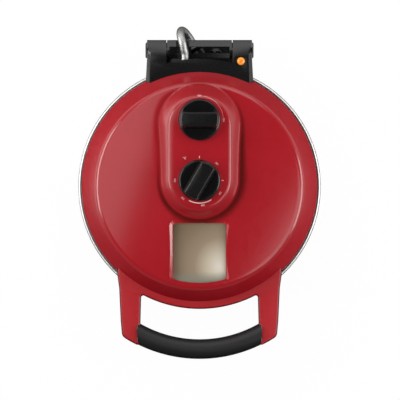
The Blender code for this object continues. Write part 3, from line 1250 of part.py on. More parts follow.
def arm_bend():
    """Where the arm's inner side bends, just behind the grip's end."""
    swing = math.asin(ARM_INNER_X / GRIP_ARC_RADIUS)
    return GRIP_CENTRE - GRIP_ARC_RADIUS * math.cos(swing) + GRIP_RADIUS / math.cos(swing) + ARM_BEND_MARGIN


def half_bracket():
    """Right half of the bracket's outline, from the middle of the lip round to the lid."""
    start = math.asin(ARM_ROOT_X / LIP_RADIUS) - math.pi / 2
    corners = [(x, y, 0) for x, y in arc(LIP_RADIUS, -math.pi / 2, start, LIP_STEPS)[:-1]]
    corners.append((ARM_ROOT_X, -math.sqrt(LIP_RADIUS ** 2 - ARM_ROOT_X ** 2), ARM_FILLET))
    corners.append((ARM_INNER_X, arm_bend(), 0))
    end = arm_end_arc()
    corners += [(x, y, 0) for x, y in end[:-1]]
    corners.append((end[-1][0], end[-1][1], ARM_END_ROUND))
    corners += [(x, y, 0) for x, y in arm_outer()]
    side = math.asin(ARM_SIDE_X / BRACKET_INNER_RADIUS) - math.pi / 2
    corners += [(x, y, 0) for x, y in arc(BRACKET_INNER_RADIUS, side, -math.pi / 2, LIP_STEPS // 2)]
    return corners


def rod_route(extra=0):
    reach = math.asin((ARM_INNER_X + ROD_SEAT + extra) / GRIP_ARC_RADIUS)
    points = arc(GRIP_ARC_RADIUS, -math.pi / 2 - reach, -math.pi / 2 + reach, ROD_STEPS, (0, GRIP_CENTRE))
    return [(x, y, HANDLE_MIDDLE) for x, y in points]


def grip_screw_places():
    reach = math.asin(GRIP_SCREW_PLACE / GRIP_ARC_RADIUS)
    y = GRIP_CENTRE - GRIP_ARC_RADIUS * math.cos(reach)
    return [Vector((side * GRIP_SCREW_PLACE, y, HANDLE_BOTTOM + HEAD_HEIGHT + TOUCH)) for side in (-1, 1)]


def make_handle(lid):
    right = half_bracket()
    left = [(-x, y, radius) for x, y, radius in right[-2:0:-1]]
    outline = rounded(right + left)
    bracket = piece("handle_bracket", lid, RED_ENAMEL,
                    prism(outline, HANDLE_BOTTOM, HANDLE_BOTTOM + HANDLE_THICKNESS), edge=ARM_EDGE)
    cut(bracket, cutter("bracket_lid_seat", lid, lid_solid(-TOUCH)))
    holes = lid_screw_holes(HANDLE_SCREWS)
    for place in grip_screw_places():
        holes.append(placed(turned([(0, -HEAD_HEIGHT - OVERRUN), (HEAD_RADIUS + TOUCH, -HEAD_HEIGHT - OVERRUN),
                                    (HEAD_RADIUS + TOUCH, TOUCH), (SHANK_RADIUS + TOUCH, TOUCH),
                                    (SHANK_RADIUS + TOUCH, HANDLE_THICKNESS / 2 - HEAD_HEIGHT),
                                    (0, HANDLE_THICKNESS / 2 - HEAD_HEIGHT)], SCREW_STEPS), place))
    cut(bracket, cutter("bracket_rod_holes", lid, swept(rod_route(TOUCH), ROD_RADIUS + TOUCH)))
    cut(bracket, cutter("bracket_fixing_holes", lid, *holes))
    pieces("handle_screw", lid, ZINC_STEEL, lid_screws(HANDLE_SCREWS))
    pieces("grip_screw", lid, ZINC_STEEL, [screw(GRIP_SCREW_LENGTH + ROD_RADIUS / 2, place, (0, 0, 1))
                                           for place in grip_screw_places()])
    rod_item = piece("handle_rod", lid, ZINC_STEEL, swept(rod_route(), ROD_RADIUS))
    high = GRIP_SCREW_LENGTH + ROD_RADIUS / 2 + TOUCH
    cut(rod_item, cutter("rod_screw_holes", lid, *[
        placed(rod(SHANK_RADIUS + TOUCH, -OVERRUN, high, SCREW_STEPS), place) for place in grip_screw_places()]))
    make_grip(lid)


def make_grip(lid):
    reach = math.asin(ARM_INNER_X / GRIP_ARC_RADIUS) + GRIP_RADIUS / GRIP_ARC_RADIUS
    points = arc(GRIP_ARC_RADIUS, -math.pi / 2 - reach, -math.pi / 2 + reach, GRIP_STEPS, (0, GRIP_CENTRE))
    grip = piece("handle_grip", lid, BLACK_RUBBER,
                 swept([(x, y, HANDLE_MIDDLE) for x, y in points], GRIP_RADIUS, resolution=4))
    half = ARM_INNER_X - TOUCH
    trim = box((-half, -GRIP_REACH - OVERRUN, HANDLE_BOTTOM - GRIP_RADIUS), (half, 0, HANDLE_BOTTOM + 3 * GRIP_RADIUS))
    combine(grip, 'INTERSECT', cutter("grip_trim", lid, trim))
    cut(grip, cutter("grip_bore", lid, swept(rod_route(TOUCH), ROD_RADIUS + TOUCH)))


# Conduit

def make_conduit(base):
    """Ribbed metal hose: two points for each rib, one on its crest and one in its valley."""
    route = smooth(CONDUIT_ROUTE, 2 * CONDUIT_RIB_STEPS)
    swell = [1 if number % 2 == 0 else CONDUIT_VALLEY_SHARE for number in range(len(route))]
    conduit = piece("conduit", base, STAINLESS, swept(route, CONDUIT_RADIUS, swell))
    first = Vector(CONDUIT_ROUTE[0])
    last = Vector(CONDUIT_ROUTE[-1])
    inner = [first - Vector((0, OVERRUN, 0))] + smooth(CONDUIT_ROUTE, CONDUIT_BORE_STEPS)
    inner.append(last + gland_aim() * OVERRUN)
    cut(conduit, cutter("conduit_bore", base, swept(inner, CONDUIT_BORE_RADIUS, resolution=1)))


def main():
    for item in list(bpy.data.objects):
        bpy.data.objects.remove(item, do_unlink=True)
    base = Pivot("base", (0, 0, 0))
    lid = Pivot("lid", HINGE, base)
    power = Pivot("power", (0, POWER_PLACE, POD_TOP), lid)
    temperature = Pivot("temperature", (0, TEMPERATURE_PLACE, POD_TOP), lid)
    make_feet(base)
    make_base_cover(base)
    make_base_screws(base)
    make_base_ring(base)
    make_cooking_pan(base)
    make_pizza_stone(base)
    make_heat_shield(base)
    make_lower_element(base)
    make_electrics(base)
    make_hinge_bracket(base)
    make_glands(base)
    make_conduit(base)
    make_lid_shell(lid)
    make_lid_liner(lid)
    make_window(lid)
    make_upper_element(lid)
    make_controls(lid)
    make_thermostat_bulb(lid)
    make_hinge_cover(lid)
    make_pins(lid)
    make_lamp(lid)
    make_handle(lid)
    make_dial("power", power, POWER_PLACE, 0)
    make_dial("temperature", temperature, TEMPERATURE_PLACE, TEMPERATURE_POINTER)


main()
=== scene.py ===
# %% [markdown]
# # Dressing an electric pizza maker
# The imported model already says where every part is and how it moves. This lesson gives each part the
# surface and the finish of the real cooker: a pressed lid in red enamel with a raised pod, two black
# dials, a window, a steel wall, a curved soft grip and a ribbed metal hose over the hinge.
# The model is loaded first; the boxes of some of its parts give sizes further on. Nothing added here
# may reach outside it.

# %% Load the imported model
import contextlib
import json

import bmesh
import bpy
import numpy as np
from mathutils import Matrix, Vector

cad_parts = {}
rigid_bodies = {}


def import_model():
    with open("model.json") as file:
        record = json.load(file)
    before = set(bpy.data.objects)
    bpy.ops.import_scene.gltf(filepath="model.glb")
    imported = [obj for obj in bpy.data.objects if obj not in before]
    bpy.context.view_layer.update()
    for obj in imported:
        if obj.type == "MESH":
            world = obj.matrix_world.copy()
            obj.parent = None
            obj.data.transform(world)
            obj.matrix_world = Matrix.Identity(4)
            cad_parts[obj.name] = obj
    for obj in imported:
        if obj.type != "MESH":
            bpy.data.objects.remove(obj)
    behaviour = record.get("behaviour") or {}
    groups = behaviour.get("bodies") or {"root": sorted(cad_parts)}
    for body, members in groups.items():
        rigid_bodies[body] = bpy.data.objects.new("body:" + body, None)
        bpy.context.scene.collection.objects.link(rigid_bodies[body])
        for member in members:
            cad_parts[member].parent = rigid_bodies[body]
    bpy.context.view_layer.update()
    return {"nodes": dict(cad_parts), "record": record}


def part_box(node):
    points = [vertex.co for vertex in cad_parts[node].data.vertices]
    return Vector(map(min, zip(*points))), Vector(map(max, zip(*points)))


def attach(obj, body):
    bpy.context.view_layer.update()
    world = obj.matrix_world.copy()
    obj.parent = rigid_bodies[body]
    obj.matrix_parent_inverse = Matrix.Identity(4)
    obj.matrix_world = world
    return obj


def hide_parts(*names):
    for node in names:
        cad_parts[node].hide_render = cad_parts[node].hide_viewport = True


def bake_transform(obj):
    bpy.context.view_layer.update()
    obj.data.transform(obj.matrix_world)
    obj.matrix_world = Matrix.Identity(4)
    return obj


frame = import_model()

# %% [markdown]
# Shapes are worked out in millimetres round the lid's upright axis, because those are the numbers that a
# maker measures. One value moves them back along the cooker onto the model, and one turns them to metres.
# The pod's straight sides run from its front to its rear; both the enamel and the lid's form need them.

# %% Units and the lid's axis
MM = 0.001
ring_low, ring_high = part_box("base_ring")
AXIS_Y = (ring_low.y + ring_high.y) / 2 / MM
RIM = ring_high.z / MM
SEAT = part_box("lid_shell")[0].z / MM
POD_FRONT = 10.6
POD_REAR = 84.7
print("axis at y", round(AXIS_Y, 2), "mm, rim at", round(RIM, 2), "mm, lid's seat at", round(SEAT, 2), "mm")

# %% [markdown]
# Most pieces are a grid of points: one parameter runs along the rows and the other along the columns.
# A grid that closes on itself is wrapped, and rows that meet in one point, as at the top of a dome, are
# merged afterwards, so that the surface is closed there.

# %% From grids to meshes
def quads(rows, columns, wrap_rows=False):
    """Faces of a grid whose columns wrap: each joins a point to its right, lower right and lower one."""
    row, column = np.meshgrid(np.arange(rows if wrap_rows else rows - 1), np.arange(columns), indexing="ij")
    below = (row + 1) % rows
    right = (column + 1) % columns
    corners = [row * columns + column, row * columns + right, below * columns + right,
               below * columns + column]
    return np.stack(corners, axis=-1).reshape(-1, 4)


def make_mesh(name, points, faces):
    """Mesh of points in millimetres round the lid's axis, moved onto the model in metres."""
    mesh = bpy.data.meshes.new(name)
    places = (np.reshape(points, (-1, 3)) + (0, AXIS_Y, 0)) * MM
    mesh.vertices.add(len(places))
    mesh.vertices.foreach_set("co", places.astype(np.float32).ravel())
    mesh.loops.add(faces.size)
    mesh.loops.foreach_set("vertex_index", faces.astype(np.int32).ravel())
    mesh.polygons.add(len(faces))
    mesh.polygons.foreach_set("loop_start", np.arange(0, faces.size, faces.shape[1], dtype=np.int32))
    mesh.update(calc_edges=True)
    return mesh


@contextlib.contextmanager
def editing(mesh):
    """The mesh opened for editing; what was done to it is written back when the block ends."""
    shape = bmesh.new()
    shape.from_mesh(mesh)
    yield shape
    shape.to_mesh(mesh)
    shape.free()


def close_mesh(mesh, reach=1e-6):
    """Merge the points that share a place and turn the faces outwards."""
    with editing(mesh) as shape:
        bmesh.ops.remove_doubles(shape, verts=shape.verts, dist=reach)
        bmesh.ops.dissolve_degenerate(shape, edges=shape.edges, dist=reach)
        bmesh.ops.recalc_face_normals(shape, faces=shape.faces)
    return mesh


def grid_mesh(name, points, wrap_rows=False):
    """Closed mesh of a grid of points."""
    return close_mesh(make_mesh(name, points, quads(*points.shape[:2], wrap_rows)))


def join_meshes(name, meshes):
    """One mesh of several."""
    whole = bmesh.new()
    for mesh in meshes:
        whole.from_mesh(mesh)
        bpy.data.meshes.remove(mesh)
    joined = bpy.data.meshes.new(name)
    whole.to_mesh(joined)
    whole.free()
    return joined


def show(name, data):
    """An object of a mesh, a curve, a lamp or a camera, linked into the scene."""
    thing = bpy.data.objects.new(name, data)
    bpy.context.scene.collection.objects.link(thing)
    return thing


finishes = {}
made = []


def add_piece(mesh, body, slot, stands_for=None, sharp=35, finish=None):
    """Put a mesh into the scene as a piece that rides on a body, if one is given, and hide what it stands
    for.

    It wears the slot's finish, unless it is given another.
    """
    piece = show(mesh.name, mesh)
    mesh.materials.clear()
    mesh.materials.append(finish or finishes[slot])
    mesh.shade_smooth()
    mesh.set_sharp_from_angle(angle=np.radians(sharp))
    if body:
        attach(piece, body)
    if stands_for:
        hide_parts(stands_for)
    made.append(piece)
    print(piece.name, "faces:", len(mesh.polygons), "rides on", body)
    return piece


def baked(holder, name):
    """The mesh that an object shows once its modifiers or letters are worked out; the object goes."""
    graph = bpy.context.evaluated_depsgraph_get()
    mesh = bpy.data.meshes.new_from_object(holder.evaluated_get(graph))
    mesh.name = name
    bpy.data.objects.remove(holder)
    return mesh


def applied(mesh, kind, **settings):
    """The mesh with one modifier applied."""
    holder = show("holder", mesh)
    modifier = holder.modifiers.new(kind, kind)
    for key, value in settings.items():
        setattr(modifier, key, value)
    return baked(holder, mesh.name)

# %% [markdown]
# A corner on pressed steel or moulded plastic is never sharp. One helper turns a list of corners, each
# with its radius, into a line with true arcs, and another spins such a line round the upright axis.

# %% Rounded lines and turned shapes
ARC_SHARE = 0.48                # of a side, the most that the arc at one of its ends takes


def rounded_path(corners, steps):
    """Line through (x, y, radius) corners with an arc at each.

    An arc leaves and meets the two sides at radius / tan(half the corner's angle) from the corner. Its
    points are its middle plus the radius turned evenly from the first of those places to the second.
    """
    corners = np.asarray(corners, float)
    point = corners[:, :2]
    back = np.roll(point, 1, axis=0) - point
    ahead = np.roll(point, -1, axis=0) - point
    room = ARC_SHARE * np.minimum(np.linalg.norm(back, axis=1), np.linalg.norm(ahead, axis=1))
    back /= np.linalg.norm(back, axis=1)[:, None]
    ahead /= np.linalg.norm(ahead, axis=1)[:, None]
    half = np.arccos(np.clip(np.sum(back * ahead, axis=1), -1, 1)) / 2
    half = np.clip(half, 1e-3, np.pi / 2 - 1e-4)
    reach = np.minimum(np.maximum(corners[:, 2], 1e-6) / np.tan(half), room)
    radius = reach * np.tan(half)
    aim = back + ahead
    length = np.linalg.norm(aim, axis=1)
    aim = np.where(length[:, None] > 1e-6, aim / np.maximum(length, 1e-9)[:, None], 0)
    middle = point + aim * (radius / np.sin(half))[:, None]
    first = point + back * reach[:, None] - middle
    last = point + ahead * reach[:, None] - middle
    share = np.linspace(0, 1, steps + 1)[None, :, None]
    sweep = (np.pi - 2 * half)[:, None, None]
    arc = (np.sin((1 - share) * sweep) * first[:, None]
           + np.sin(share * sweep) * last[:, None]) / np.sin(sweep)
    return (middle[:, None] + arc).reshape(-1, 2)


def spaced(line, least):
    """The points of a line that lie further than least from the one before; the last is before the first."""
    return line[np.linalg.norm(line - np.roll(line, 1, axis=0), axis=1) > least]


def polar(reach, turn, height=0.0, middle_y=0.0):
    """Points (reach cos t, reach sin t + middle_y, height)."""
    x, y = reach * np.cos(turn), reach * np.sin(turn) + middle_y
    return np.stack(np.broadcast_arrays(x, y, height), axis=-1)


def turned(name, profile, steps, middle_y=0.0):
    """Solid of revolution of a line of (radius, height) points: (radius cos t, radius sin t, height).

    A line that starts and ends on the axis is left open there, and any other is closed on itself.
    """
    angle = np.linspace(0, 2 * np.pi, steps, endpoint=False)
    radius, height = np.asarray(profile, float).T
    points = polar(radius[:, None], angle, height[:, None], middle_y)
    return grid_mesh(name, points, wrap_rows=max(radius[0], radius[-1]) > 1e-6)

# %% [markdown]
# Tubes and beads are a section carried along a line. At each point of the line the section stands on two
# directions: one given for the piece, made square to the line, and one square to both.

# %% Shapes carried along a line
def directions(path, closed=False):
    """Unit direction at each point of a line, from its neighbours on both sides."""
    if closed:
        run = np.roll(path, -1, axis=0) - np.roll(path, 1, axis=0)
    else:
        run = np.gradient(path, axis=0)
    return run / np.linalg.norm(run, axis=1)[:, None]


def tube(name, path, radius, side, sides):
    """Round tube: path + radius * (cos a * first direction + sin a * second direction).

    The ends are closed by rows that shrink to the end points.
    """
    run = directions(path)
    first = side - np.sum(side * run, axis=1)[:, None] * run
    first /= np.linalg.norm(first, axis=1)[:, None]
    rows = (path, first, np.cross(run, first))
    path, first, second = (np.concatenate([row[:1], row, row[-1:]])[:, None] for row in rows)
    radius = np.concatenate([[0], np.broadcast_to(radius, len(run)), [0]])[:, None, None]
    angle = np.linspace(0, 2 * np.pi, sides, endpoint=False)[None, :, None]
    return grid_mesh(name, path + radius * (np.cos(angle) * first + np.sin(angle) * second))

# %% [markdown]
# Finishes are node materials. One function turns the hex colours that painters write into the linear
# light that the renderer wants, and one adds a node with its settings, its links and a ramp's colours.

# %% Helpers for finishes
def linear(code):
    """sRGB hex colour to linear: x / 12.92 below 0.04045, else ((x + 0.055) / 1.055) to the power 2.4."""
    value = np.array([int(code[i:i + 2], 16) for i in (1, 3, 5)]) / 255
    value = np.where(value < 0.04045, value / 12.92, ((value + 0.055) / 1.055) ** 2.4)
    return (*(float(x) for x in value), 1.0)


def add_node(tree, kind, sockets=(), stops=(), **settings):
    """Add a node: settings are its own properties, sockets are values or outputs for its inputs.

    The sockets come in their own order, or by name or number. A ramp's stops are positions and hex colours.
    """
    node = tree.nodes.new("ShaderNode" + kind)
    for key, value in settings.items():
        setattr(node, key, value)
    for key, value in (sockets.items() if isinstance(sockets, dict) else enumerate(sockets)):
        if isinstance(value, bpy.types.NodeSocket):
            tree.links.new(value, node.inputs[key])
        else:
            node.inputs[key].default_value = value
    if stops:
        elements = node.color_ramp.elements
        for position, code in stops[1:-1]:
            elements.new(position)
        for element, (position, code) in zip(elements, stops):
            element.position = position
            element.color = linear(code)
    return node


def start_finish(name, **sockets):
    """A material with its Principled shader set; returns it, its tree, the shader and Object coordinates."""
    finish = bpy.data.materials.new(name)
    finish.use_nodes = True
    tree = finish.node_tree
    shader = tree.nodes["Principled BSDF"]
    for key, value in sockets.items():
        shader.inputs[key.replace("_", " ")].default_value = value
    return finish, tree, shader, add_node(tree, "TexCoord").outputs["Object"]


BULK = (0.3, 0.7)               # the levels between which most of a noise lies


def tones(low, high):
    """Stops that spread two colours over most of a noise."""
    return (BULK[0], low), (BULK[1], high)


def per_metre(size):
    """The scale of a noise whose blotches are about size millimetres across."""
    return 1 / (size * MM)


def lay_finish(tree, shader, colour, roughness, spread, grains, height, depth):
    """Colour a shader, let grains add up to the spread to its roughness, and raise a height pattern.

    The depth of the pattern is in millimetres.
    """
    tree.links.new(colour, shader.inputs["Base Color"])
    dull = add_node(tree, "MapRange", (grains, *BULK, roughness, roughness + spread)).outputs[0]
    tree.links.new(dull, shader.inputs["Roughness"])
    bump = add_node(tree, "Bump", {"Height": height, "Strength": 1.0, "Distance": depth * MM})
    tree.links.new(bump.outputs["Normal"], shader.inputs["Normal"])

# %% [markdown]
# The lid is pressed steel with a fired gloss enamel. Enamel lies on steel like thick glass: a deep even
# red, a clear highlight, and a faint ripple a few millimetres across where it flowed before it set. Round
# the pod's foot the red is painted darker: a painted shadow of the pod, widest and darkest towards the
# front right. The moulded handle has the same red, with a painted shade that turns it nearly black where
# a wall is seen at a slant.

# %% Red enamel and red plastic
# Painted shadow of the pod on the enamel round its foot: its colour, its place and how it spreads
PAINTED_SHADOW_COLOUR = "#560a08"
SHADOW_REACH = 57.8               # the foot's distance from the pod's middle line, beside the lid's axis
SHADOW_SLOPE = 0.00033            # and what each square millimetre further from the axis adds to it
SHADOW_INSIDE = 3.6
SHADOW_WIDTHS = (3.0, 13.0)
SHADOW_DEPTHS = (0.2, 1.0)
SHADOW_DIRECTION = (0.011, -0.0145, 0)     # the direction towards which the painted shadow falls
WIDENING = (-0.9, 0.5)          # how far along it the painted shadow widens
DEEPENING = (-1.3, -0.3)        # and how far along it the painted shadow darkens
SLANT = (0.01, 0.35)            # how far a face has to turn away for its painted shade to begin, and to be full
SLANT_GLOSS = (0.5, 0.05)


def painted_pod_shadow(tree, place):
    """How much painted shadow of the pod lies round its foot, from 0 to 1, by the distance from the foot.

    The foot lies at SHADOW_REACH + SHADOW_SLOPE * (distance from the lid's axis) squared from the pod's
    middle line, in millimetres. The painted shadow is as wide and as dark as the place lies along
    SHADOW_DIRECTION.
    """
    spot = add_node(tree, "Mapping", {"Vector": place, "Location": (0, -AXIS_Y, 0),
                                      "Scale": (1 / MM, 1 / MM, 0)}).outputs[0]
    square = add_node(tree, "VectorMath", (spot, spot), operation="DOT_PRODUCT").outputs["Value"]
    foot = add_node(tree, "Math", (square, SHADOW_SLOPE, SHADOW_REACH), operation="MULTIPLY_ADD").outputs[0]
    parts = add_node(tree, "SeparateXYZ", (spot,)).outputs
    along = add_node(tree, "Math", (parts["Y"], (POD_REAR + POD_FRONT) / 2), operation="SUBTRACT").outputs[0]
    along = add_node(tree, "Math", (along,), operation="ABSOLUTE").outputs[0]
    beyond = add_node(tree, "Math", (along, (POD_REAR - POD_FRONT) / 2), operation="SUBTRACT").outputs[0]
    beyond = add_node(tree, "Math", (beyond, 0.0), operation="MAXIMUM").outputs[0]
    away = add_node(tree, "CombineXYZ", (parts["X"], beyond)).outputs[0]
    away = add_node(tree, "VectorMath", (away,), operation="LENGTH").outputs["Value"]
    away = add_node(tree, "Math", (away, foot), operation="SUBTRACT").outputs[0]
    toward_shadow = add_node(tree, "VectorMath", (spot, SHADOW_DIRECTION), operation="DOT_PRODUCT").outputs["Value"]
    width = add_node(tree, "MapRange", (toward_shadow, *WIDENING, *SHADOW_WIDTHS)).outputs[0]
    outside = add_node(tree, "MapRange", (away, 0.0, width, 1.0, 0.0),
                       interpolation_type="SMOOTHSTEP").outputs[0]
    inside = add_node(tree, "MapRange", (away, -SHADOW_INSIDE, 0.0)).outputs[0]
    band = add_node(tree, "Math", (outside, inside), operation="MULTIPLY").outputs[0]
    depth = add_node(tree, "MapRange", (toward_shadow, *DEEPENING, *SHADOW_DEPTHS)).outputs[0]
    return add_node(tree, "Math", (band, depth), operation="MULTIPLY").outputs[0]


def make_enamel(name, low, high, ripple, roughness, ior, pod_shadow=None, slant=None):
    """Gloss red, darkened by a painted shadow round the pod's foot and by a painted shade at a slant."""
    finish, tree, shader, place = start_finish(name, IOR=ior)
    blotches = add_node(tree, "TexNoise", {"Vector": place, "Scale": per_metre(40)}).outputs[0]
    colour = add_node(tree, "ValToRGB", (blotches,), tones(low, high)).outputs[0]
    # painted shadow: the red is mixed towards a dark red round the pod's foot
    if pod_shadow:
        sockets = {0: pod_shadow(tree, place), 6: colour, 7: linear(PAINTED_SHADOW_COLOUR)}
        colour = add_node(tree, "Mix", sockets, data_type="RGBA").outputs[2]
    # painted shade: faces seen at a slant are mixed towards a near-black red and lose their gloss
    if slant:
        facing = add_node(tree, "LayerWeight", {"Blend": 0.5}).outputs["Facing"]
        share = add_node(tree, "MapRange", (facing, *SLANT)).outputs[0]
        sockets = {0: share, 6: colour, 7: linear(slant)}
        colour = add_node(tree, "Mix", sockets, data_type="RGBA").outputs[2]
        gloss = add_node(tree, "MapRange", (facing, *SLANT, *SLANT_GLOSS)).outputs[0]
        tree.links.new(gloss, shader.inputs["Specular IOR Level"])
    grains = add_node(tree, "TexNoise", {"Vector": place, "Scale": per_metre(6)}).outputs[0]
    sockets = {"Vector": place, "Scale": per_metre(ripple), "Detail": 1.0}
    waves = add_node(tree, "TexNoise", sockets).outputs[0]
    lay_finish(tree, shader, colour, roughness, 0.06, grains, waves, 0.0012 * ripple)
    return finish


# Vitreous enamel on steel: deep red with a wet gloss, and a painted shadow round the pod's foot
finishes["red_enamel"] = make_enamel("red_vitreous_enamel", "#9b151e", "#9e1721", 5.0, 0.15, 1.55,
                                     pod_shadow=painted_pod_shadow)
# Moulded heat-proof plastic, coloured to match: the same red with a slightly softer gloss, and a painted
# shade near black where a wall turns away
finishes["red_plastic"] = make_enamel("red_moulded_plastic", "#a4181f", "#a71a22", 2.5, 0.3, 1.5,
                                      slant="#3c0405")
print("finishes so far:", *finishes)

# %% [markdown]
# The steel wall of the base is brushed round its circumference. The brush lines are far finer than a
# pixel, so they are drawn a little coarser: rows that change quickly with height and with the distance
# from the axis, and hardly at all round the ring.

# %% Brushed steel, bright hose steel and plated steel
def make_metal(name, low, high, roughness, grain, spread=0.1, depth=0.004, metallic=1.0):
    """Metal whose grain is a noise."""
    finish, tree, shader, place = start_finish(name, Metallic=metallic)
    sockets = {"Vector": place, "Scale": per_metre(grain), "Detail": 3.0}
    grains = add_node(tree, "TexNoise", sockets).outputs[0]
    colour = add_node(tree, "ValToRGB", (grains,), tones(low, high)).outputs[0]
    lay_finish(tree, shader, colour, roughness, spread, grains, grains, depth)
    return finish


def make_turned_steel(name, low, high, roughness):
    """Steel brushed round the axis: the noise is read at (radius, height, 0) + a little of the place."""
    finish, tree, shader, place = start_finish(name, Metallic=1.0)
    flat = add_node(tree, "Mapping", {"Vector": place, "Location": (0, -AXIS_Y * MM, 0),
                                      "Scale": (1, 1, 0)}).outputs[0]
    radius = add_node(tree, "VectorMath", (flat,), operation="LENGTH").outputs["Value"]
    height = add_node(tree, "SeparateXYZ", (place,)).outputs["Z"]
    lines = add_node(tree, "CombineXYZ", (radius, height)).outputs[0]
    drift = add_node(tree, "VectorMath", (flat, (0.01, 0.01, 0.01)), operation="MULTIPLY").outputs[0]
    spot = add_node(tree, "VectorMath", (lines, drift), operation="ADD").outputs[0]
    grains = add_node(tree, "TexNoise", {"Vector": spot, "Scale": per_metre(0.6), "Detail": 3.0}).outputs[0]
    colour = add_node(tree, "ValToRGB", (grains,), tones(low, high)).outputs[0]
    lay_finish(tree, shader, colour, roughness, 0.12, grains, grains, 0.006)
    return finish


# Stainless steel sheet, brushed: pale grey with fine rings of light
finishes["stainless"] = make_turned_steel("brushed_stainless_steel", "#c9c9c7", "#dededc", 0.22)
# The rolled rim of the wall: a nearly white, half metallic copy of the steel, a painted highlight along the
# rim
rim_highlight_steel = make_metal("bead_blasted_rim", "#efefed", "#f6f6f4", 0.42, 1.5, 0.06, 0.002, 0.3)
# Wound stainless strip of the hose: rougher than the wall, and a darker copy of its steel, a painted shade
# that tones down its reflections
finishes["hose_steel"] = make_metal("bright_hose_steel", "#a9a9a7", "#b5b5b3", 0.4, 12.0, 0.04, 0.0005)
# Zinc plated screws, clips and pins: a slightly blue grey, dull where it was handled
finishes["zinc_steel"] = make_metal("zinc_plated_steel", "#b8bbbd", "#d4d6d6", 0.28, 2.0)
# A near-black copy of the zinc for the screws and the gland deep in the hinge mount: a painted shade
shade_dark_zinc = make_metal("black_zinc_plating", "#0c0c0d", "#131314", 0.45, 2.0)
# Sheathed heater, oxidised by use: dark grey brown
finishes["element_steel"] = make_metal("oxidised_heater_sheath", "#4a4643", "#6a645e", 0.45, 4.0, 0.15, 0.02)
# Aluminised steel pan and liner: pale satin with large soft spangles
finishes["aluminised_steel"] = make_metal("aluminised_steel", "#b3b3b0", "#c8c8c5", 0.34, 9.0, 0.12, 0.01)
# Drawn copper capillary
finishes["copper"] = make_metal("drawn_copper", "#b9704a", "#cf8a62", 0.25, 3.0)
print("finishes so far:", *finishes)

# %% [markdown]
# The hinge housing and the dials are moulded in black heat-proof plastic. A mould for such a part is
# sparked to a fine grain, under a millimetre, which breaks the highlight into a soft sheen.
# The grip and the feet are rubber: the same black, but nearly without gloss.

# %% Black plastic, rubber, stone and switch bodies
def make_moulded(name, low, high, roughness, grain, depth):
    finish, tree, shader, place = start_finish(name, IOR=1.5)
    blotches = add_node(tree, "TexNoise", {"Vector": place, "Scale": per_metre(30)}).outputs[0]
    colour = add_node(tree, "ValToRGB", (blotches,), tones(low, high)).outputs[0]
    grains = add_node(tree, "TexNoise", {"Vector": place, "Scale": per_metre(grain)}).outputs[0]
    lay_finish(tree, shader, colour, roughness, 0.08, grains, grains, depth)
    return finish


# Phenolic plastic with a sparked grain: satin black
finishes["black_plastic"] = make_moulded("black_phenolic_plastic", "#0a0a0a", "#0d0d0d", 0.22, 0.7, 0.008)
# The same plastic from a polished mould, for the flat discs of the dials
black_gloss = make_moulded("polished_black_plastic", "#080808", "#0a0a0a", 0.14, 0.7, 0.002)
# Silicone rubber: matt, a little grey in the light
finishes["black_rubber"] = make_moulded("black_silicone_rubber", "#090909", "#0b0b0b", 0.5, 0.9, 0.03)
# Pressed cordierite: rough sandy beige with darker grains
finishes["ceramic"] = make_moulded("pressed_cordierite", "#c0ac8c", "#c8b696", 0.85, 1.6, 0.12)
# Thermoset switch body
finishes["switch_plastic"] = make_moulded("thermoset_switch_body", "#b8ae99", "#c6bda9", 0.55, 1.0, 0.02)
print("finishes so far:", *finishes)

# %% [markdown]
# The window is toughened glass with a bronze tint, with a painted reflection in its colour: pale at
# the front right and brown at the rear left, by the place on the glass. The lamp's lens is clear orange
# plastic over a small neon lamp.

# %% Glass, lens and print
REFLECTION_ACROSS = (-0.86, 0.14)     # left and right side of the pane, from the painted pale reflection, in widths of the pane
REFLECTION_DOWN = (-0.72, 0.28)       # rear and front side of it, from the painted pale reflection, in lengths of the pane
TINT_EDGE = (0.08, 0.24)        # where it turns cool towards the front


def make_window_glass():
    finish, tree, shader, place = start_finish("bronze_tinted_glass", IOR=1.5, Roughness=0.08,
                                               Transmission_Weight=0.25, Coat_Weight=0.5, Coat_Roughness=0.04)
    low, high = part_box("window_glass")
    parts = add_node(tree, "SeparateXYZ", (place,)).outputs
    across = add_node(tree, "MapRange", (parts["X"], low.x, high.x, *REFLECTION_ACROSS), clamp=False).outputs[0]
    down = add_node(tree, "MapRange", (parts["Y"], high.y, low.y, *REFLECTION_DOWN), clamp=False).outputs[0]
    away = add_node(tree, "CombineXYZ", (across, down)).outputs[0]
    away = add_node(tree, "VectorMath", (away,), operation="LENGTH").outputs["Value"]
    # painted reflection: pale where light glances off the glass at the front right, brown away from it
    stops = ((0, "#f0e8da"), (0.22, "#d2c5af"), (0.45, "#a6937d"), (0.75, "#8f7c66"), (1, "#7c6a53"))
    tint = add_node(tree, "ValToRGB", (away,), stops).outputs[0]
    edge = add_node(tree, "MapRange", (down, *TINT_EDGE)).outputs[0]
    cool = add_node(tree, "Mix", {0: edge, 6: tint, 7: linear("#8f9082")}, data_type="RGBA").outputs[2]
    tree.links.new(cool, shader.inputs["Base Color"])
    return finish


def make_lamp_glass():
    finish, tree, shader, place = start_finish("clear_lamp_glass", IOR=1.5, Roughness=0.05,
                                               Transmission_Weight=0.8)
    blotches = add_node(tree, "TexNoise", {"Vector": place, "Scale": per_metre(5)}).outputs[0]
    tint = add_node(tree, "ValToRGB", (blotches,), tones("#f2e6dc", "#fff4ea")).outputs[0]
    tree.links.new(tint, shader.inputs["Base Color"])
    return finish


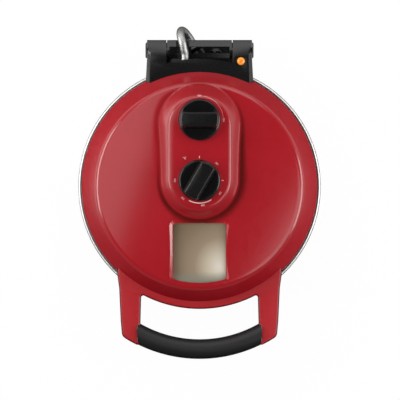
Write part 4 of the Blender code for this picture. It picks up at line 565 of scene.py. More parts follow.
def make_lens():
    """Orange that is deepest in the middle and palest near the rim, and glows a little."""
    finish, tree, shader, place = start_finish("orange_polycarbonate_lens", IOR=1.58, Roughness=0.2,
                                               Emission_Strength=0.12)
    low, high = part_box("lamp_lens")
    middle = (low + high) / 2
    sockets = (place, (1, 1, 0), (-middle.x, -middle.y, 0))
    flat = add_node(tree, "VectorMath", sockets, operation="MULTIPLY_ADD").outputs[0]
    away = add_node(tree, "VectorMath", (flat,), operation="LENGTH").outputs["Value"]
    share = add_node(tree, "MapRange", (away, 0.0, high.x - middle.x)).outputs[0]
    stops = ((0, "#dc5f00"), (0.72, "#ec9a34"), (1, "#e58312"))
    glow = add_node(tree, "ValToRGB", (share,), stops).outputs[0]
    tree.links.new(glow, shader.inputs["Base Color"])
    tree.links.new(glow, shader.inputs["Emission Color"])
    return finish


finishes["smoked_glass"] = make_window_glass()
# Thin clear glass of the neon lamp and the fuse
finishes["clear_glass"] = make_lamp_glass()
# Lens over the neon lamp: orange plastic, lit from under it
finishes["orange_lens"] = make_lens()
# Screen-printed marks: a warm white ink, a little uneven
white_ink = make_moulded("white_screen_ink", "#e2b4b2", "#efcac8", 0.5, 0.5, 0.01)

for row in frame["record"]["subparts"]:
    node = frame["nodes"][row["node"]]
    if node.material_slots:
        node.material_slots[0].material = finishes[row["material_slot"]]
    else:
        node.data.materials.append(finishes[row["material_slot"]])
print("finishes:", len(finishes))

# %% [markdown]
# ## The lid
# The lid could be spun like a pot lid, but its raised pod isn't round. So its height is a function of the
# place: a shallow dome and the pod, joined by a smooth maximum, which leaves the soft hollow that a press
# leaves round a raised form. The grid's rings follow the pod's outline near it and turn to circles at the
# crease, so that the edge and the crease both run along rows of points and their highlights stay clean.

# %% Sizes of the lid
LID_RADIUS = 169.7
SKIRT_TOP = SEAT + 12.0
SHOULDER = (165.6, SEAT + 18.0)
CREASE_RADIUS = 147.8
DOME_RISE = 12.0
CROWN = SEAT + 56.5
DOME_CURVE = (CREASE_RADIUS ** 2 + DOME_RISE ** 2) / (2 * DOME_RISE)
POD_TOP = SEAT + 69.7
POD_HALF = 43.9
POD_SPREAD = 0.74
POD_EDGE = 2.6
POD_ROOT = 0.1
ROOT_END, ROOT_FADE = 122.0, 24.0
GROOVE_DEPTH = 0.5
GROOVE_WIDTH = 5.0
GROOVE_END, GROOVE_FADE = 146.0, 10.0
WINDOW_REAR = -52.7
WINDOW_DIP = 1.4
DIP_WIDTH = 4.5
DIP_END, DIP_FADE = 41.0, 6.0
CREASE_ROUNDING = 12.0
LID_WALL = 1.5
GAP = 0.3


def dome_height(radius):
    """Height of a sphere's cap: crown - curve + the root of (curve squared - radius squared)."""
    return CROWN - DOME_CURVE + np.sqrt(DOME_CURVE ** 2 - np.asarray(radius) ** 2)


def pod_reach(angle, half):
    """Distance from the lid's axis to a long round outline of that half width, along each angle.

    Along the straight sides it is half / |cos|; at the two ends it is where the ray meets a circle whose
    middle is on the lid's centre line.
    """
    rise, run = np.sin(angle), np.maximum(np.abs(np.cos(angle)), 1e-9)
    side = half / run
    rear = POD_REAR * rise + np.sqrt(np.maximum(half ** 2 - (POD_REAR * run) ** 2, 0))
    front = POD_FRONT * rise + np.sqrt(np.maximum(half ** 2 - (POD_FRONT * run) ** 2, 0))
    height = side * rise
    return np.where(height > POD_REAR, rear, np.where(height < POD_FRONT, front, side))


def pod_distance(x, y):
    """Distance outside the pod's top outline; it is below zero inside."""
    return np.hypot(x, y - np.clip(y, POD_FRONT, POD_REAR)) - POD_HALF


def lid_height(x, y):
    """Dome and pod: the larger of the two, rounded where they meet by h * h * k / 4, h = 1 - gap / k.

    Round the pod's foot the dome dips by a bell of GROOVE_DEPTH * exp(-(distance / GROOVE_WIDTH) squared),
    and behind the window by a bell of WINDOW_DIP. Both fade out over a few millimetres at their ends.
    """
    radius = np.hypot(x, y)
    dome = dome_height(np.minimum(radius, DOME_CURVE * 0.9))
    away = pod_distance(x, y)
    foot = (away - (POD_TOP - dome + GROOVE_DEPTH) * POD_SPREAD) / GROOVE_WIDTH
    dome = dome - GROOVE_DEPTH * np.exp(-foot ** 2) * np.clip((GROOVE_END - radius) / GROOVE_FADE, 0, 1)
    bell = np.exp(-((y - WINDOW_REAR) / DIP_WIDTH) ** 2)
    dome = dome - WINDOW_DIP * bell * np.clip((DIP_END - np.abs(x)) / DIP_FADE, 0, 1)
    pod = POD_TOP - (away + np.sqrt(away ** 2 + POD_EDGE ** 2)) / 2 / POD_SPREAD
    fade = np.clip((radius - ROOT_END) / ROOT_FADE, 0, 1)
    root = POD_ROOT * (1 - fade * fade * (3 - 2 * fade)) + 1e-3
    meet = np.maximum(1 - np.abs(dome - pod) / root, 0)
    return np.maximum(dome, pod) + meet ** 2 * root / 4

# %% [markdown]
# The rings of the grid are close together where the sheet bends: round the pod's edge and towards its
# foot. The foot is where the pod's leaning wall meets the dome, which falls away under it, so its place is
# found by trying a few times. Outside it the rings turn to circles, and the side of the lid is a rounded
# line. The inner face is the outer one, moved in by the thickness of the sheet along its normals.

# %% Lid surface
LID_COLUMNS = 360
INNER_RING = 142.4
DOME_START = 137.0
SIDE_STEPS = 12
EDGE_SPREAD = 3.0
TRIALS = 8


def shares(count, power=1.0):
    """Count steps from above 0 to 1, one row each; a power above 1 crowds them towards 0."""
    return np.linspace(0, 1, count + 1)[1:, None] ** power


angle = np.linspace(0, 2 * np.pi, LID_COLUMNS, endpoint=False)
foot_reach = pod_reach(angle, POD_HALF + 12.0)
for trial in range(TRIALS):
    foot_reach = np.minimum(foot_reach, INNER_RING - 1)
    foot = (POD_TOP - dome_height(foot_reach) + GROOVE_DEPTH) * POD_SPREAD
    foot_reach = pod_reach(angle, POD_HALF + foot)
foot_reach = np.minimum(foot_reach, INNER_RING - 1)
edge_rows = pod_reach(angle, POD_HALF + np.linspace(-EDGE_SPREAD, EDGE_SPREAD, 13)[:, None])
edge_rows = np.minimum(edge_rows, foot_reach - 0.5)
reach = np.concatenate([np.linspace(0, 1, 8)[:-1, None] * edge_rows[0], edge_rows,
                        edge_rows[-1] + (foot_reach - edge_rows[-1]) * shares(14),
                        foot_reach + (INNER_RING - foot_reach) * shares(59, 1.3)])
crown_points = polar(reach, angle)
crown_points[..., 2] = lid_height(crown_points[..., 0], crown_points[..., 1])
side_line = rounded_path([(DOME_START, dome_height(DOME_START), 0),
                          (CREASE_RADIUS, dome_height(CREASE_RADIUS), CREASE_ROUNDING), (*SHOULDER, 9.0),
                          (LID_RADIUS, SKIRT_TOP, 6.0), (LID_RADIUS, SEAT, 0)], SIDE_STEPS)[SIDE_STEPS + 1:]
side_radius, side_height = spaced(side_line, 0.02).T[..., None]
side_points = polar(side_radius, angle, side_height)
raised = lid_height(side_points[..., 0], side_points[..., 1]) - dome_height(side_radius)
side_points[..., 2] += raised * np.clip((CREASE_RADIUS + 1.5 - side_radius) / 3, 0, 1)
outer = np.concatenate([crown_points, side_points])
print("lid rows:", outer.shape[0], "columns:", outer.shape[1])


def surface_normals(points):
    """Cross product of the steps to the next column and to the next row, made one long."""
    across = np.roll(points, -1, axis=1) - np.roll(points, 1, axis=1)
    down = np.gradient(points, axis=0)
    normal = np.cross(down, across)
    length = np.linalg.norm(normal, axis=-1, keepdims=True)
    return np.where(length > 1e-9, normal / np.maximum(length, 1e-9), (0, 0, 1.0))


normals = surface_normals(outer)
normals[0] = (0, 0, 1)
normals[-1] = polar(1.0, angle)
inner_rows = np.unique(np.concatenate([np.arange(0, len(outer), 4), [len(outer) - 1]]))[::-1]
inner = outer[inner_rows] - LID_WALL * normals[inner_rows]
lid_mesh = grid_mesh("enamelled_lid", np.concatenate([outer, inner]))

# %% [markdown]
# The window and the two holes for the dials' bushings are cut through the finished sheet with solids of
# the right outline, as a punch does.

# %% Window outline and the punch
WINDOW_HALF = 37.9
WINDOW_REACH = 138.4
WINDOW_CORNER = 5.0


def window_outline(grow=0.0, steps=6):
    """Corners of the window with rounded joints; the front side is an arc round the lid's axis."""
    half, reach, corner = WINDOW_HALF + grow, WINDOW_REACH + grow, WINDOW_CORNER + grow
    turn = np.arcsin(half / reach) * np.concatenate([[-1], np.linspace(-0.75, 0.75, 11), [1]]) - np.pi / 2
    front = polar(reach, turn)
    front[[0, -1], 2] = corner
    rear = [(side * half, WINDOW_REAR + grow, corner) for side in (1, -1)]
    return rounded_path(np.concatenate([front, rear]), steps)


def prism_mesh(name, outline, low, high):
    """Solid between two copies of an outline, closed by fans from the middle of each."""
    outline = np.asarray(outline, float)
    middle = np.broadcast_to(outline.mean(axis=0), outline.shape)
    heights = ((middle, low), (outline, low), (outline, high), (middle, high))
    rows = [np.column_stack([line, np.full(len(line), level)]) for line, level in heights]
    return grid_mesh(name, np.stack(rows))


def punched(mesh, *punches):
    """Cut the punches out of a closed mesh."""
    tool = show("punch", join_meshes("punch", punches))
    result = applied(mesh, "BOOLEAN", operation="DIFFERENCE", solver="MANIFOLD", object=tool)
    bpy.data.objects.remove(tool)
    return result


POWER_Y = 95.1
TEMPERATURE_Y = 8.2
BUSHING = 5.0
PUNCH_LOW, PUNCH_HIGH = 120.0, 170.0
BUSHING_LOW = 150.0
bushing_line = [(0, BUSHING_LOW), (BUSHING, BUSHING_LOW), (BUSHING, PUNCH_HIGH), (0, PUNCH_HIGH)]
punches = [prism_mesh("window_punch", window_outline(), PUNCH_LOW, PUNCH_HIGH)]
for dial_y in (POWER_Y, TEMPERATURE_Y):
    punches.append(turned("bushing_punch", bushing_line, 32, dial_y))
lid_mesh = punched(lid_mesh, *punches)
add_piece(lid_mesh, "lid", "red_enamel", "lid_shell")

# %% [markdown]
# Beside the window the sheet is raised in two ribs. Each climbs from the dome towards the opening and ends
# at its edge, so that its outer face looks sideways and catches the light of that side. The ribs fade
# out round the corners, where the outline turns away from the sides.

# %% Ribs beside the window
RIB_WIDTH = 5.4
RIB_HEIGHT = 2.7
RIGHT_SHARE = 0.35
RIB_FOOT = -1.4
outline = spaced(window_outline(0.0, 8), 1e-4)
run = directions(outline, closed=True)
outward = np.stack([run[:, 1], -run[:, 0]], axis=1)
section = rounded_path([(0.15, RIB_FOOT, 0), (0.15, RIB_HEIGHT, 0.5), (0.9, RIB_HEIGHT, 0.6),
                        (RIB_WIDTH, 0, 1.2), (RIB_WIDTH + 1, -0.2, 0), (RIB_WIDTH + 1, RIB_FOOT, 0)], 4)
share = np.clip((np.abs(outward[:, 0]) - 0.3) / 0.55, 0, 1)
share = (share * share * (3 - 2 * share) * np.where(outline[:, 0] > 0, RIGHT_SHARE, 1))[:, None]
flat = outline[:, None] + outward[:, None] * section[None, :, :1]
rise = np.where(section[:, 1] > 0, section[:, 1] * share, section[:, 1]) - (1 - share) * 0.4
height = dome_height(np.linalg.norm(flat, axis=-1)) + rise
ribs_mesh = grid_mesh("window_ribs", np.concatenate([flat, height[..., None]], axis=-1), wrap_rows=True)
add_piece(ribs_mesh, "lid", "red_enamel")

# %% [markdown]
# The glass lies under the sheet in a black frame. It is a flat slab on the tilt of the dome at its
# middle, and it lies as deep as it must for the curved sheet to clear its corners.

# %% Window glass
GLASS_LIP = 3.0
GLASS_THICKNESS = 4.0
pane_y = (WINDOW_REAR - WINDOW_REACH) / 2
tilt = np.arcsin(-pane_y / DOME_CURVE)
half_run = ((WINDOW_REACH + WINDOW_REAR) / 2 + GLASS_LIP, WINDOW_HALF + GLASS_LIP)
sink = LID_WALL + (half_run[0] ** 2 + half_run[1] ** 2) / (2 * DOME_CURVE) + 2 * GAP
pane_outline = window_outline(GLASS_LIP - 0.05) - (0, pane_y)
pane_rings = (0, pane_y) + pane_outline * np.linspace(0, 1, 9)[:, None, None]


def pane_face(rings, depth):
    """Rings on a plane tilted with the dome, depth below the dome's surface at the pane's middle."""
    height = dome_height(-pane_y) - depth / np.cos(tilt) + (rings[..., 1] - pane_y) * np.tan(tilt)
    return np.concatenate([rings, height[..., None]], axis=-1)


pane = grid_mesh("tinted_pane", np.concatenate([pane_face(pane_rings, sink),
                                                pane_face(pane_rings[::-1], sink + GLASS_THICKNESS)]))
add_piece(pane, "lid", "smoked_glass", "window_glass")

# %% [markdown]
# ## Controls
# Each dial is a flat skirt with a raised bar across it. The bar's sides lean in towards the top, as they
# must to leave the mould. The skirt is a turned line, and the bar is a stack of outlines: two straight
# sides and two arcs, drawn in a little at each level and rounded over at the top.

# %% Dials
DIAL_BOTTOM = POD_TOP + 1.2
DIAL_RADIUS = 29.3
DIAL_DISC = 5.0
DIAL_TOP = DIAL_BOTTOM + 22.0
BAR_HALF_LOW = 13.2
BAR_HALF_TOP = 9.9
BAR_REACH = 27.6
BAR_CORNER = 1.6
BOSS_RADIUS = 9.5
BOSS_DEPTH = 2.8


def swung(x, y, turn):
    """Places turned by an angle: x cos t - y sin t, x sin t + y cos t."""
    return x * np.cos(turn) - y * np.sin(turn), x * np.sin(turn) + y * np.cos(turn)


def bar_outline(half, reach):
    """Two straight sides at plus and minus half, joined by arcs of that reach round the dial's middle."""
    swing = np.arcsin(half / reach)
    right = np.linspace(-swing, swing, 9)
    corners = polar(reach, np.concatenate([right, right + np.pi]))
    corners[[0, 8, 9, 17], 2] = BAR_CORNER
    return rounded_path(corners, 4)


def dial_mesh(name, place_y, pointer):
    """Skirt and bar of a dial; the bar is turned to its pointer angle round the dial's middle."""
    disc = DIAL_BOTTOM + DIAL_DISC
    skirt = rounded_path([(0, DIAL_BOTTOM + BOSS_DEPTH, 0), (BOSS_RADIUS, DIAL_BOTTOM + BOSS_DEPTH, 0.3),
                          (BOSS_RADIUS, DIAL_BOTTOM, 0.3), (DIAL_RADIUS, DIAL_BOTTOM, 0.6),
                          (DIAL_RADIUS, disc - 1.2, 0.8), (DIAL_RADIUS - 1.5, disc, 0.8),
                          (DIAL_RADIUS - 2.6, disc, 0.4), (DIAL_RADIUS - 3.4, disc - 0.7, 0.5),
                          (0, disc - 0.5, 0)], 5)
    disc_mesh = turned(name + "_disc", skirt, 128, place_y)
    turn = np.linspace(0, np.pi / 2, 6)
    height = np.concatenate([[disc - 1.2, disc - 1.0], DIAL_TOP - BAR_CORNER * (1 - np.sin(turn))])
    share = (height - disc) / (DIAL_TOP - disc)
    half = BAR_HALF_LOW + (BAR_HALF_TOP - BAR_HALF_LOW) * np.clip(share, 0, 1)
    drawn = np.concatenate([[0, 0], BAR_CORNER * (1 - np.cos(turn))])
    reach = BAR_REACH - 0.9 * share - drawn
    rings = np.stack([bar_outline(*level) for level in zip(half - 0.6 * drawn, reach)])
    rings = np.concatenate([np.zeros_like(rings[:1]), rings, np.zeros_like(rings[:1])])
    height = np.concatenate([height[:1], height, height[-1:]])
    x, y = swung(rings[..., 0], rings[..., 1], pointer)
    points = np.stack([x, y + place_y, np.broadcast_to(height[:, None], x.shape)], axis=-1)
    return disc_mesh, grid_mesh(name + "_bar", points)


for body, dial_y, pointer in (("power", POWER_Y, 0.0), ("temperature", TEMPERATURE_Y, np.radians(60))):
    disc_mesh, bar_mesh = dial_mesh(body + "_knob", dial_y, pointer)
    add_piece(disc_mesh, body, "black_plastic", body + "_dial", 30, black_gloss)
    add_piece(bar_mesh, body, "black_plastic", sharp=30)

# %% [markdown]
# The pod carries screen-printed marks. They are drawn as thin flat shapes that lie on the enamel: short
# bars, parts of rings, plain numbers and the words ON and OFF. Text is a curve in Blender, so it is made a
# mesh first and then put in its place.

# %% Printed marks
INK = 0.06
INK_LEVEL = POD_TOP + 0.02


def ink_band(name, middle_y, radius, width, start, end, steps=24):
    """Part of a flat ring: points at radius plus and minus half its width, from one angle to another."""
    near, far = radius - width / 2, radius + width / 2
    rows = polar(np.array([near, far, far, near]), np.radians(np.linspace(start, end, steps))[:, None],
                 INK_LEVEL + np.array([0, 0, INK, INK]), middle_y)
    middles = np.broadcast_to(rows.mean(axis=1, keepdims=True), rows.shape)
    return grid_mesh(name, np.concatenate([middles[:1], rows, middles[-1:]]))


def read_points(mesh):
    """The mesh's points, one row each, in metres."""
    flat = np.empty(len(mesh.vertices) * 3, np.float32)
    mesh.vertices.foreach_get("co", flat)
    return flat.reshape(-1, 3)


def ink_text(name, words, size, radius, angle_degrees, middle_y, upright=False):
    """Flat text whose middle lies at an angle and radius from a dial's middle."""
    curve = bpy.data.curves.new(name, "FONT")
    curve.body = words
    curve.size = size * MM
    curve.extrude = INK * MM / 2
    curve.align_x = "CENTER"
    curve.align_y = "CENTER"
    mesh = baked(show(name, curve), name)
    bpy.data.curves.remove(curve)
    flat = read_points(mesh)
    turn = np.radians(angle_degrees)
    x, y = swung(flat[:, 0], flat[:, 1], 0.0 if upright else turn - np.pi / 2)
    middle = polar(radius, turn, INK_LEVEL + INK / 2, middle_y + AXIS_Y) * MM
    places = np.stack([x, y, flat[:, 2]], axis=1) + middle
    mesh.vertices.foreach_set("co", places.astype(np.float32).ravel())
    return close_mesh(mesh)


WORD_SIZE = 3.6
WORDS = {POWER_Y: (("OFF", 34.2, 90), ("ON", 34.4, 0)),
         TEMPERATURE_Y: (("100", 34.6, 45), ("150", 34.4, -31), ("200", 35.6, -82), ("250", 34.6, -133),
                         ("300", 35.0, 180))}
marks = [ink_text("word", words, WORD_SIZE, reach, turn, dial_y)
         for dial_y, row in WORDS.items() for words, reach, turn in row]
marks += [ink_text("scale_unit", "°C", 4.6, 38.5, 124, TEMPERATURE_Y, True),
          ink_band("power_arc", POWER_Y, 34.2, 0.25, 8, 82),
          ink_band("scale_arc", TEMPERATURE_Y, 32.2, 1.3, -118, -58),
          ink_band("scale_start", TEMPERATURE_Y, 33.6, 3.4, 89.3, 90.7, 4),
          ink_band("scale_right", TEMPERATURE_Y, 33.0, 3.0, -0.7, 0.7, 4)]
add_piece(join_meshes("printed_marks", marks), "lid", "red_enamel", finish=white_ink)
SEAT_INSIDE, SEAT_OUTSIDE = 29.9, 31.1
seat_ring = rounded_path([(SEAT_INSIDE, POD_TOP - 0.3, 0), (SEAT_INSIDE, POD_TOP + 0.35, 0.3),
                          (SEAT_OUTSIDE, POD_TOP + 0.35, 0.3), (SEAT_OUTSIDE, POD_TOP - 0.3, 0)], 5)
seats = [turned("dial_seat", seat_ring, 128, dial_y) for dial_y in (POWER_Y, TEMPERATURE_Y)]
add_piece(join_meshes("dial_seats", seats), "lid", "red_enamel")

# %% [markdown]
# ## Handle
# The red arms and the lip between them are one moulding. Its outline is drawn with arcs at the corners,
# given a thickness, and rolled over at its edges with a bevel. Then the lid's own form is cut out of it, so
# that it sits against the skirt all the way round, and so is a round socket in each arm for the grip.

# %% Handle moulding
HANDLE_LOW = RIM + 1.0
HANDLE_HIGH = HANDLE_LOW + 18.0
LIP_RADIUS = LID_RADIUS + 6.7
LIP_END_X = 84.0
ARM_INNER_X = 86.0
ARM_OUTER_X = 111.4
# Outer side of the arm: x, y and rounding. The first y is from the arm's end, the others from the skirt.
ARM_FLARE = ((113.4, 22.0, 30.0), (115.6, 23.4, 40.0), (118.4, 43.5, 60.0))
ARM_BACK_X = 118.0
SOCKET_X = 89.6
GRIP_RADIUS = 14.3
GRIP_ARC = 186.3
GRIP_REACH = 64.6               # from the skirt to the grip's middle line
GRIP_MIDDLE = GRIP_ARC - GRIP_REACH - LID_RADIUS
GRIP_LEVEL = HANDLE_LOW + 9.0
CUT_FRONT, CUT_REAR = -260.0, -140.0
end_reach = GRIP_ARC + GRIP_RADIUS + 0.9
back_reach = LID_RADIUS - 9.7


def half_moulding():
    """Right half of the outline: along the lip, out along the arm, round its end and back."""
    lip_end = np.arcsin(LIP_END_X / LIP_RADIUS) - np.pi / 2
    lip = polar(LIP_RADIUS, np.append(np.linspace(-np.pi / 2, lip_end - 0.06, 20), lip_end))
    lip[-1, 2] = 5.0
    end = polar(end_reach, -np.arccos(np.array([ARM_INNER_X, 100.0, ARM_OUTER_X]) / end_reach),
                middle_y=GRIP_MIDDLE)
    end[[0, -1], 2] = (3.6, 10.0)
    outside = np.array(ARM_FLARE) - (0, LID_RADIUS, 0)
    outside[0, 1] = end[-1, 1] + ARM_FLARE[0][1]
    back = polar(back_reach, np.linspace(np.arcsin(ARM_BACK_X / back_reach) - np.pi / 2, -np.pi / 2, 8))
    return np.concatenate([lip, end, outside, back])


def rolled(mesh, width, segments=3, angle_degrees=32):
    """The mesh with a bevel of that width, in millimetres, on every edge sharper than the angle."""
    return applied(mesh, "BEVEL", width=width * MM, segments=segments, limit_method="ANGLE",
                   angle_limit=np.radians(angle_degrees), harden_normals=False)


def grip_rod(name, radius, end_x):
    """Round rod along the grip's arc, cut square at plus and minus end_x."""
    swing = np.arcsin((end_x + 8) / GRIP_ARC)
    path = polar(GRIP_ARC, np.linspace(-swing, swing, 97) - np.pi / 2, GRIP_LEVEL, GRIP_MIDDLE)
    cuts = [prism_mesh("grip_end", [(a, CUT_FRONT), (b, CUT_FRONT), (b, CUT_REAR), (a, CUT_REAR)], 80, 120)
            for a, b in ((-120, -end_x), (end_x, 120))]
    return punched(tube(name, path, radius, (0, 0, 1), 48), *cuts)


right = half_moulding()
moulding = spaced(rounded_path(np.concatenate([right, right[-2:0:-1] * (-1, 1, 1)]), 6), 0.02)
count = len(moulding)
rows = np.stack([np.column_stack([moulding, np.full(count, level)]) for level in (HANDLE_LOW, HANDLE_HIGH)])
arms = make_mesh("handle_moulding", rows, quads(2, count))
with editing(arms) as shape:
    shape.verts.ensure_lookup_table()
    shape.faces.new(shape.verts[:count])
    shape.faces.new(shape.verts[count:])
    bmesh.ops.recalc_face_normals(shape, faces=shape.faces)
seat_line = rounded_path([(0, CROWN, 0), (CREASE_RADIUS, dome_height(CREASE_RADIUS), 5),
                          (SHOULDER[0] + GAP, SHOULDER[1], 8), (LID_RADIUS + GAP, SKIRT_TOP, 5),
                          (LID_RADIUS + GAP, HANDLE_LOW - 5, 0), (0, HANDLE_LOW - 5, 0)], 8)
arms = close_mesh(rolled(arms, 3.4, 6, 50), 1e-7)
arms = punched(arms, turned("lid_form", seat_line, 240))
arms = punched(arms, grip_rod("grip_socket", GRIP_RADIUS + 0.1, SOCKET_X))
add_piece(arms, "lid", "red_plastic", "handle_bracket", 30)

# %% [markdown]
# The grip is a rubber sleeve on a steel rod, bent to an arc. It is a round section carried along the arc,
# and its ends lie in the sockets of the arms.

# %% Grip
grip = grip_rod("curved_grip", GRIP_RADIUS - 0.1, SOCKET_X - GAP)
add_piece(grip, "lid", "black_rubber", "handle_grip", 40)

# %% [markdown]
# ## Hinge
# The hinge housing and the mount behind it are mouldings full of bosses and pockets. Their solids are
# right as they are, and what they lack is the small radius on every edge. So a copy of each is merged,
# its flat faces are made whole again, and a bevel rolls its edges over.

# %% Housing and mount with rolled edges
def merged_copy(node, name):
    """The node's loose triangles as one closed mesh, with flat areas made into single faces."""
    mesh = frame["nodes"][node].data.copy()
    mesh.name = name
    with editing(mesh) as shape:
        bmesh.ops.remove_doubles(shape, verts=shape.verts, dist=2e-6)
        bmesh.ops.dissolve_limit(shape, angle_limit=np.radians(0.5), verts=shape.verts, edges=shape.edges)
    return mesh


ARCH_START = 188.0
ARCH_RADIUS = 50.0
ARCH_FLOOR = 100.4
ARCH_LENGTH = 32.0
ARCH_STEP = 2.5
cover_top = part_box("hinge_cover")[1].z / MM


def arched(mesh, drop):
    """Let the top fall away behind the lamp: no higher than top - drop - (y - start) squared / 2 / radius.

    The mesh is first cut across every ARCH_STEP, so that the arch has points to bend at.
    """
    with editing(mesh) as shape:
        for y in np.arange(ARCH_START, ARCH_START + ARCH_LENGTH, ARCH_STEP):
            everything = [*shape.verts, *shape.edges, *shape.faces]
            bmesh.ops.bisect_plane(shape, geom=everything, plane_co=(0, y * MM, 0), plane_no=(0, 1, 0))
    places = read_points(mesh)
    fall = np.maximum(places[:, 1] / MM - ARCH_START, 0) ** 2 / 2 / ARCH_RADIUS
    top = np.maximum(cover_top - drop - fall, ARCH_FLOOR) * MM
    high = places[:, 2] > ARCH_FLOOR * MM
    places[:, 2] = np.where(high, np.minimum(places[:, 2], top), places[:, 2])
    mesh.vertices.foreach_set("co", places.ravel())
    mesh.update()
    return mesh


housing = rolled(arched(merged_copy("hinge_cover", "hinge_housing"), 0.3), 0.8)
add_piece(housing, "lid", "black_plastic", "hinge_cover", 32)
mount = rolled(arched(merged_copy("hinge_bracket", "hinge_mount"), 1.0), 0.7)
add_piece(mount, "base", "black_plastic", "hinge_bracket", 32)
SHELF_NEAR, SHELF_FAR = 44.0, 58.0
SHELF_FRONT, SHELF_REAR = 178.0, 201.0
shelves = []
for side in (-1, 1):
    near, far = sorted((SHELF_NEAR * side, SHELF_FAR * side))
    shelf = [(near, SHELF_FRONT), (far, SHELF_FRONT), (far, SHELF_REAR), (near, SHELF_REAR)]
    shelves.append(prism_mesh("shelf", np.array(shelf) - (0, AXIS_Y), 50.2, 53.8))
add_piece(rolled(join_meshes("mount_shelves", shelves), 0.6), "base", "black_plastic")

# %% [markdown]
# A wound steel hose carries the wires from the lid over the hinge's bar and into the base. Its line
# is a smooth curve through measured points, and its radius swells and shrinks evenly along it: one wave for
# each turn of the wound strip.

# %% Ribbed hose
HINGE_Y, HINGE_Z = 196.0, 96.0
HOSE_COURSE = np.array([(-21.0, -19.0, 5.0), (-21.0, -7.0, 5.0), (-22.6, 2.0, 8.0), (-24.6, 10.5, 9.6),
                        (-26.6, 18.5, 7.0), (-27.4, 25.0, 0.0), (-26.0, 28.8, -9.0), (-22.0, 27.5, -18.0),
                        (-17.5, 22.5, -25.0), (-12.4, 14.9, -28.0), (-6.2, 4.6, -28.0)])
hose_points = HOSE_COURSE + (0, HINGE_Y, HINGE_Z)


FINE_STEPS = 12


def even_line(points, pitch, steps):
    """Cubic pieces between points, whose slopes are half the step between their neighbours.

    The two end pieces leave straight. The fine points are then spread evenly by length, so many steps
    for each pitch. Returns the line and its length.
    """
    slope = np.gradient(points, axis=0)
    slope[0] = slope[1] = points[1] - points[0]
    slope[-1] = slope[-2] = points[-1] - points[-2]
    t = (np.arange(FINE_STEPS) / FINE_STEPS)[None, :, None]
    a, b = points[:-1, None], points[1:, None]
    leave, arrive = slope[:-1, None], slope[1:, None]
    line = (a * (1 + 2 * t) * (1 - t) ** 2 + leave * t * (1 - t) ** 2
            + b * (3 - 2 * t) * t ** 2 + arrive * (t - 1) * t ** 2).reshape(-1, 3)
    line = np.concatenate([line, points[-1:]])
    length = np.concatenate([[0], np.cumsum(np.linalg.norm(np.diff(line, axis=0), axis=1))])
    goal = np.linspace(0, length[-1], int(length[-1] / pitch) * steps + 1)
    return np.stack([np.interp(goal, length, line[:, k]) for k in range(3)], axis=1), length[-1]


HOSE_RADIUS = 5.88
RIB_DEPTH = 0.16
RIB_PITCH = 2.0
RIB_POINTS = 8
hose_line, hose_length = even_line(hose_points, RIB_PITCH, RIB_POINTS)
ribs = len(hose_line) // RIB_POINTS
wave = np.linspace(0, ribs, len(hose_line)) * 2 * np.pi
hose_radius = HOSE_RADIUS - RIB_DEPTH * (0.5 - 0.5 * np.cos(wave)) ** 1.5
hose = tube("ribbed_hose", hose_line, hose_radius, (1, 0, 0), 32)
hose_object = add_piece(hose, None, "hose_steel", "conduit", 60)
print("hose length", round(hose_length, 1), "mm, ribs", ribs)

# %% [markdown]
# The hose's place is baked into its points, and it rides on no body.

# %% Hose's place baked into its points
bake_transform(hose_object)

# %% [markdown]
# ## Base
# The steel wall of the base is one closed line spun round the axis, with the radii that its real process
# leaves: a drawn corner at the foot and a rolled edge at the top. The pale bead on that edge is a second
# line, with its own nearly white finish: a painted highlight along the rim.

# %% Steel wall and rolled rim
RING_FOOT = 170.0
wall_out = [(144.0, 30.0, 0), (166.0, 30.0, 0), (RING_FOOT, 34.0, 3.0), (174.95, 85.0, 1.0),
            (174.95, 86.9, 0.5), (173.7, 88.6, 0.3), (172.3, 89.6, 0.1), (172.1, 89.4, 0.1),
            (172.1, 74.0, 0.3), (169.8, 74.0, 0.3), (169.8, 90.0, 0.3), (160.0, 90.0, 0)]
wall_in = [(160.0, 88.6, 0), (168.4, 88.6, 0.3), (168.4, 72.5, 0.3), (172.0, 72.5, 0.3), (168.5, 34.6, 2.0),
           (165.4, 31.5, 0), (144.0, 31.5, 0)]
steel_wall = turned("steel_wall", rounded_path(wall_out + wall_in, 6), 240)
add_piece(steel_wall, "base", "stainless", "base_ring", 30)
# painted highlight: the rolled rim wears a nearly white copy of the steel
rim_line = [(172.05, 84.0, 0), (172.05, 89.95, 0.3), (172.5, 90.0, 0.3), (173.9, 88.95, 0.4),
            (174.0, 84.0, 0)]
rim = turned("rolled_rim", rounded_path(rim_line, 5), 240)
add_piece(rim, "base", "stainless", sharp=30, finish=rim_highlight_steel)

# %% [markdown]
# Everything that is left is hidden or small: the bottom cover, the feet, the pan and the stone, heaters,
# clips, screws, switch and thermostat. Their solids already have the right form. Each gets the small
# radius that its process leaves on its edges: wide on rubber and stone, narrow on turned steel.

# %% Small and hidden parts
EDGE = {"pizza_stone": 1.5, "foot": 1.2, "base_cover": 1.0, "cooking_pan": 0.35, "lid_liner": 0.35,
        "heat_shield": 0.3, "window_frame": 0.4, "hinge_cap": 0.8, "lamp_lens": 0.5, "gland": 0.5,
        "terminal_block": 0.5, "power_switch": 0.6, "thermostat": 0.5}
EDGE_ELSEWHERE = 0.25
# painted shade: the screws and the gland deep in the hinge mount wear a near-black copy of the zinc
FINISH = {"bracket_screw": shade_dark_zinc, "base_conduit_gland": shade_dark_zinc}
dressed = {"base_ring", "hinge_bracket", "conduit", "lid_shell", "window_glass", "hinge_cover",
           "handle_bracket", "handle_grip", "power_dial", "temperature_dial"}


def chosen(table, node, otherwise):
    """The entry of the first key that the node's name contains."""
    return next((value for key, value in table.items() if key in node), otherwise)


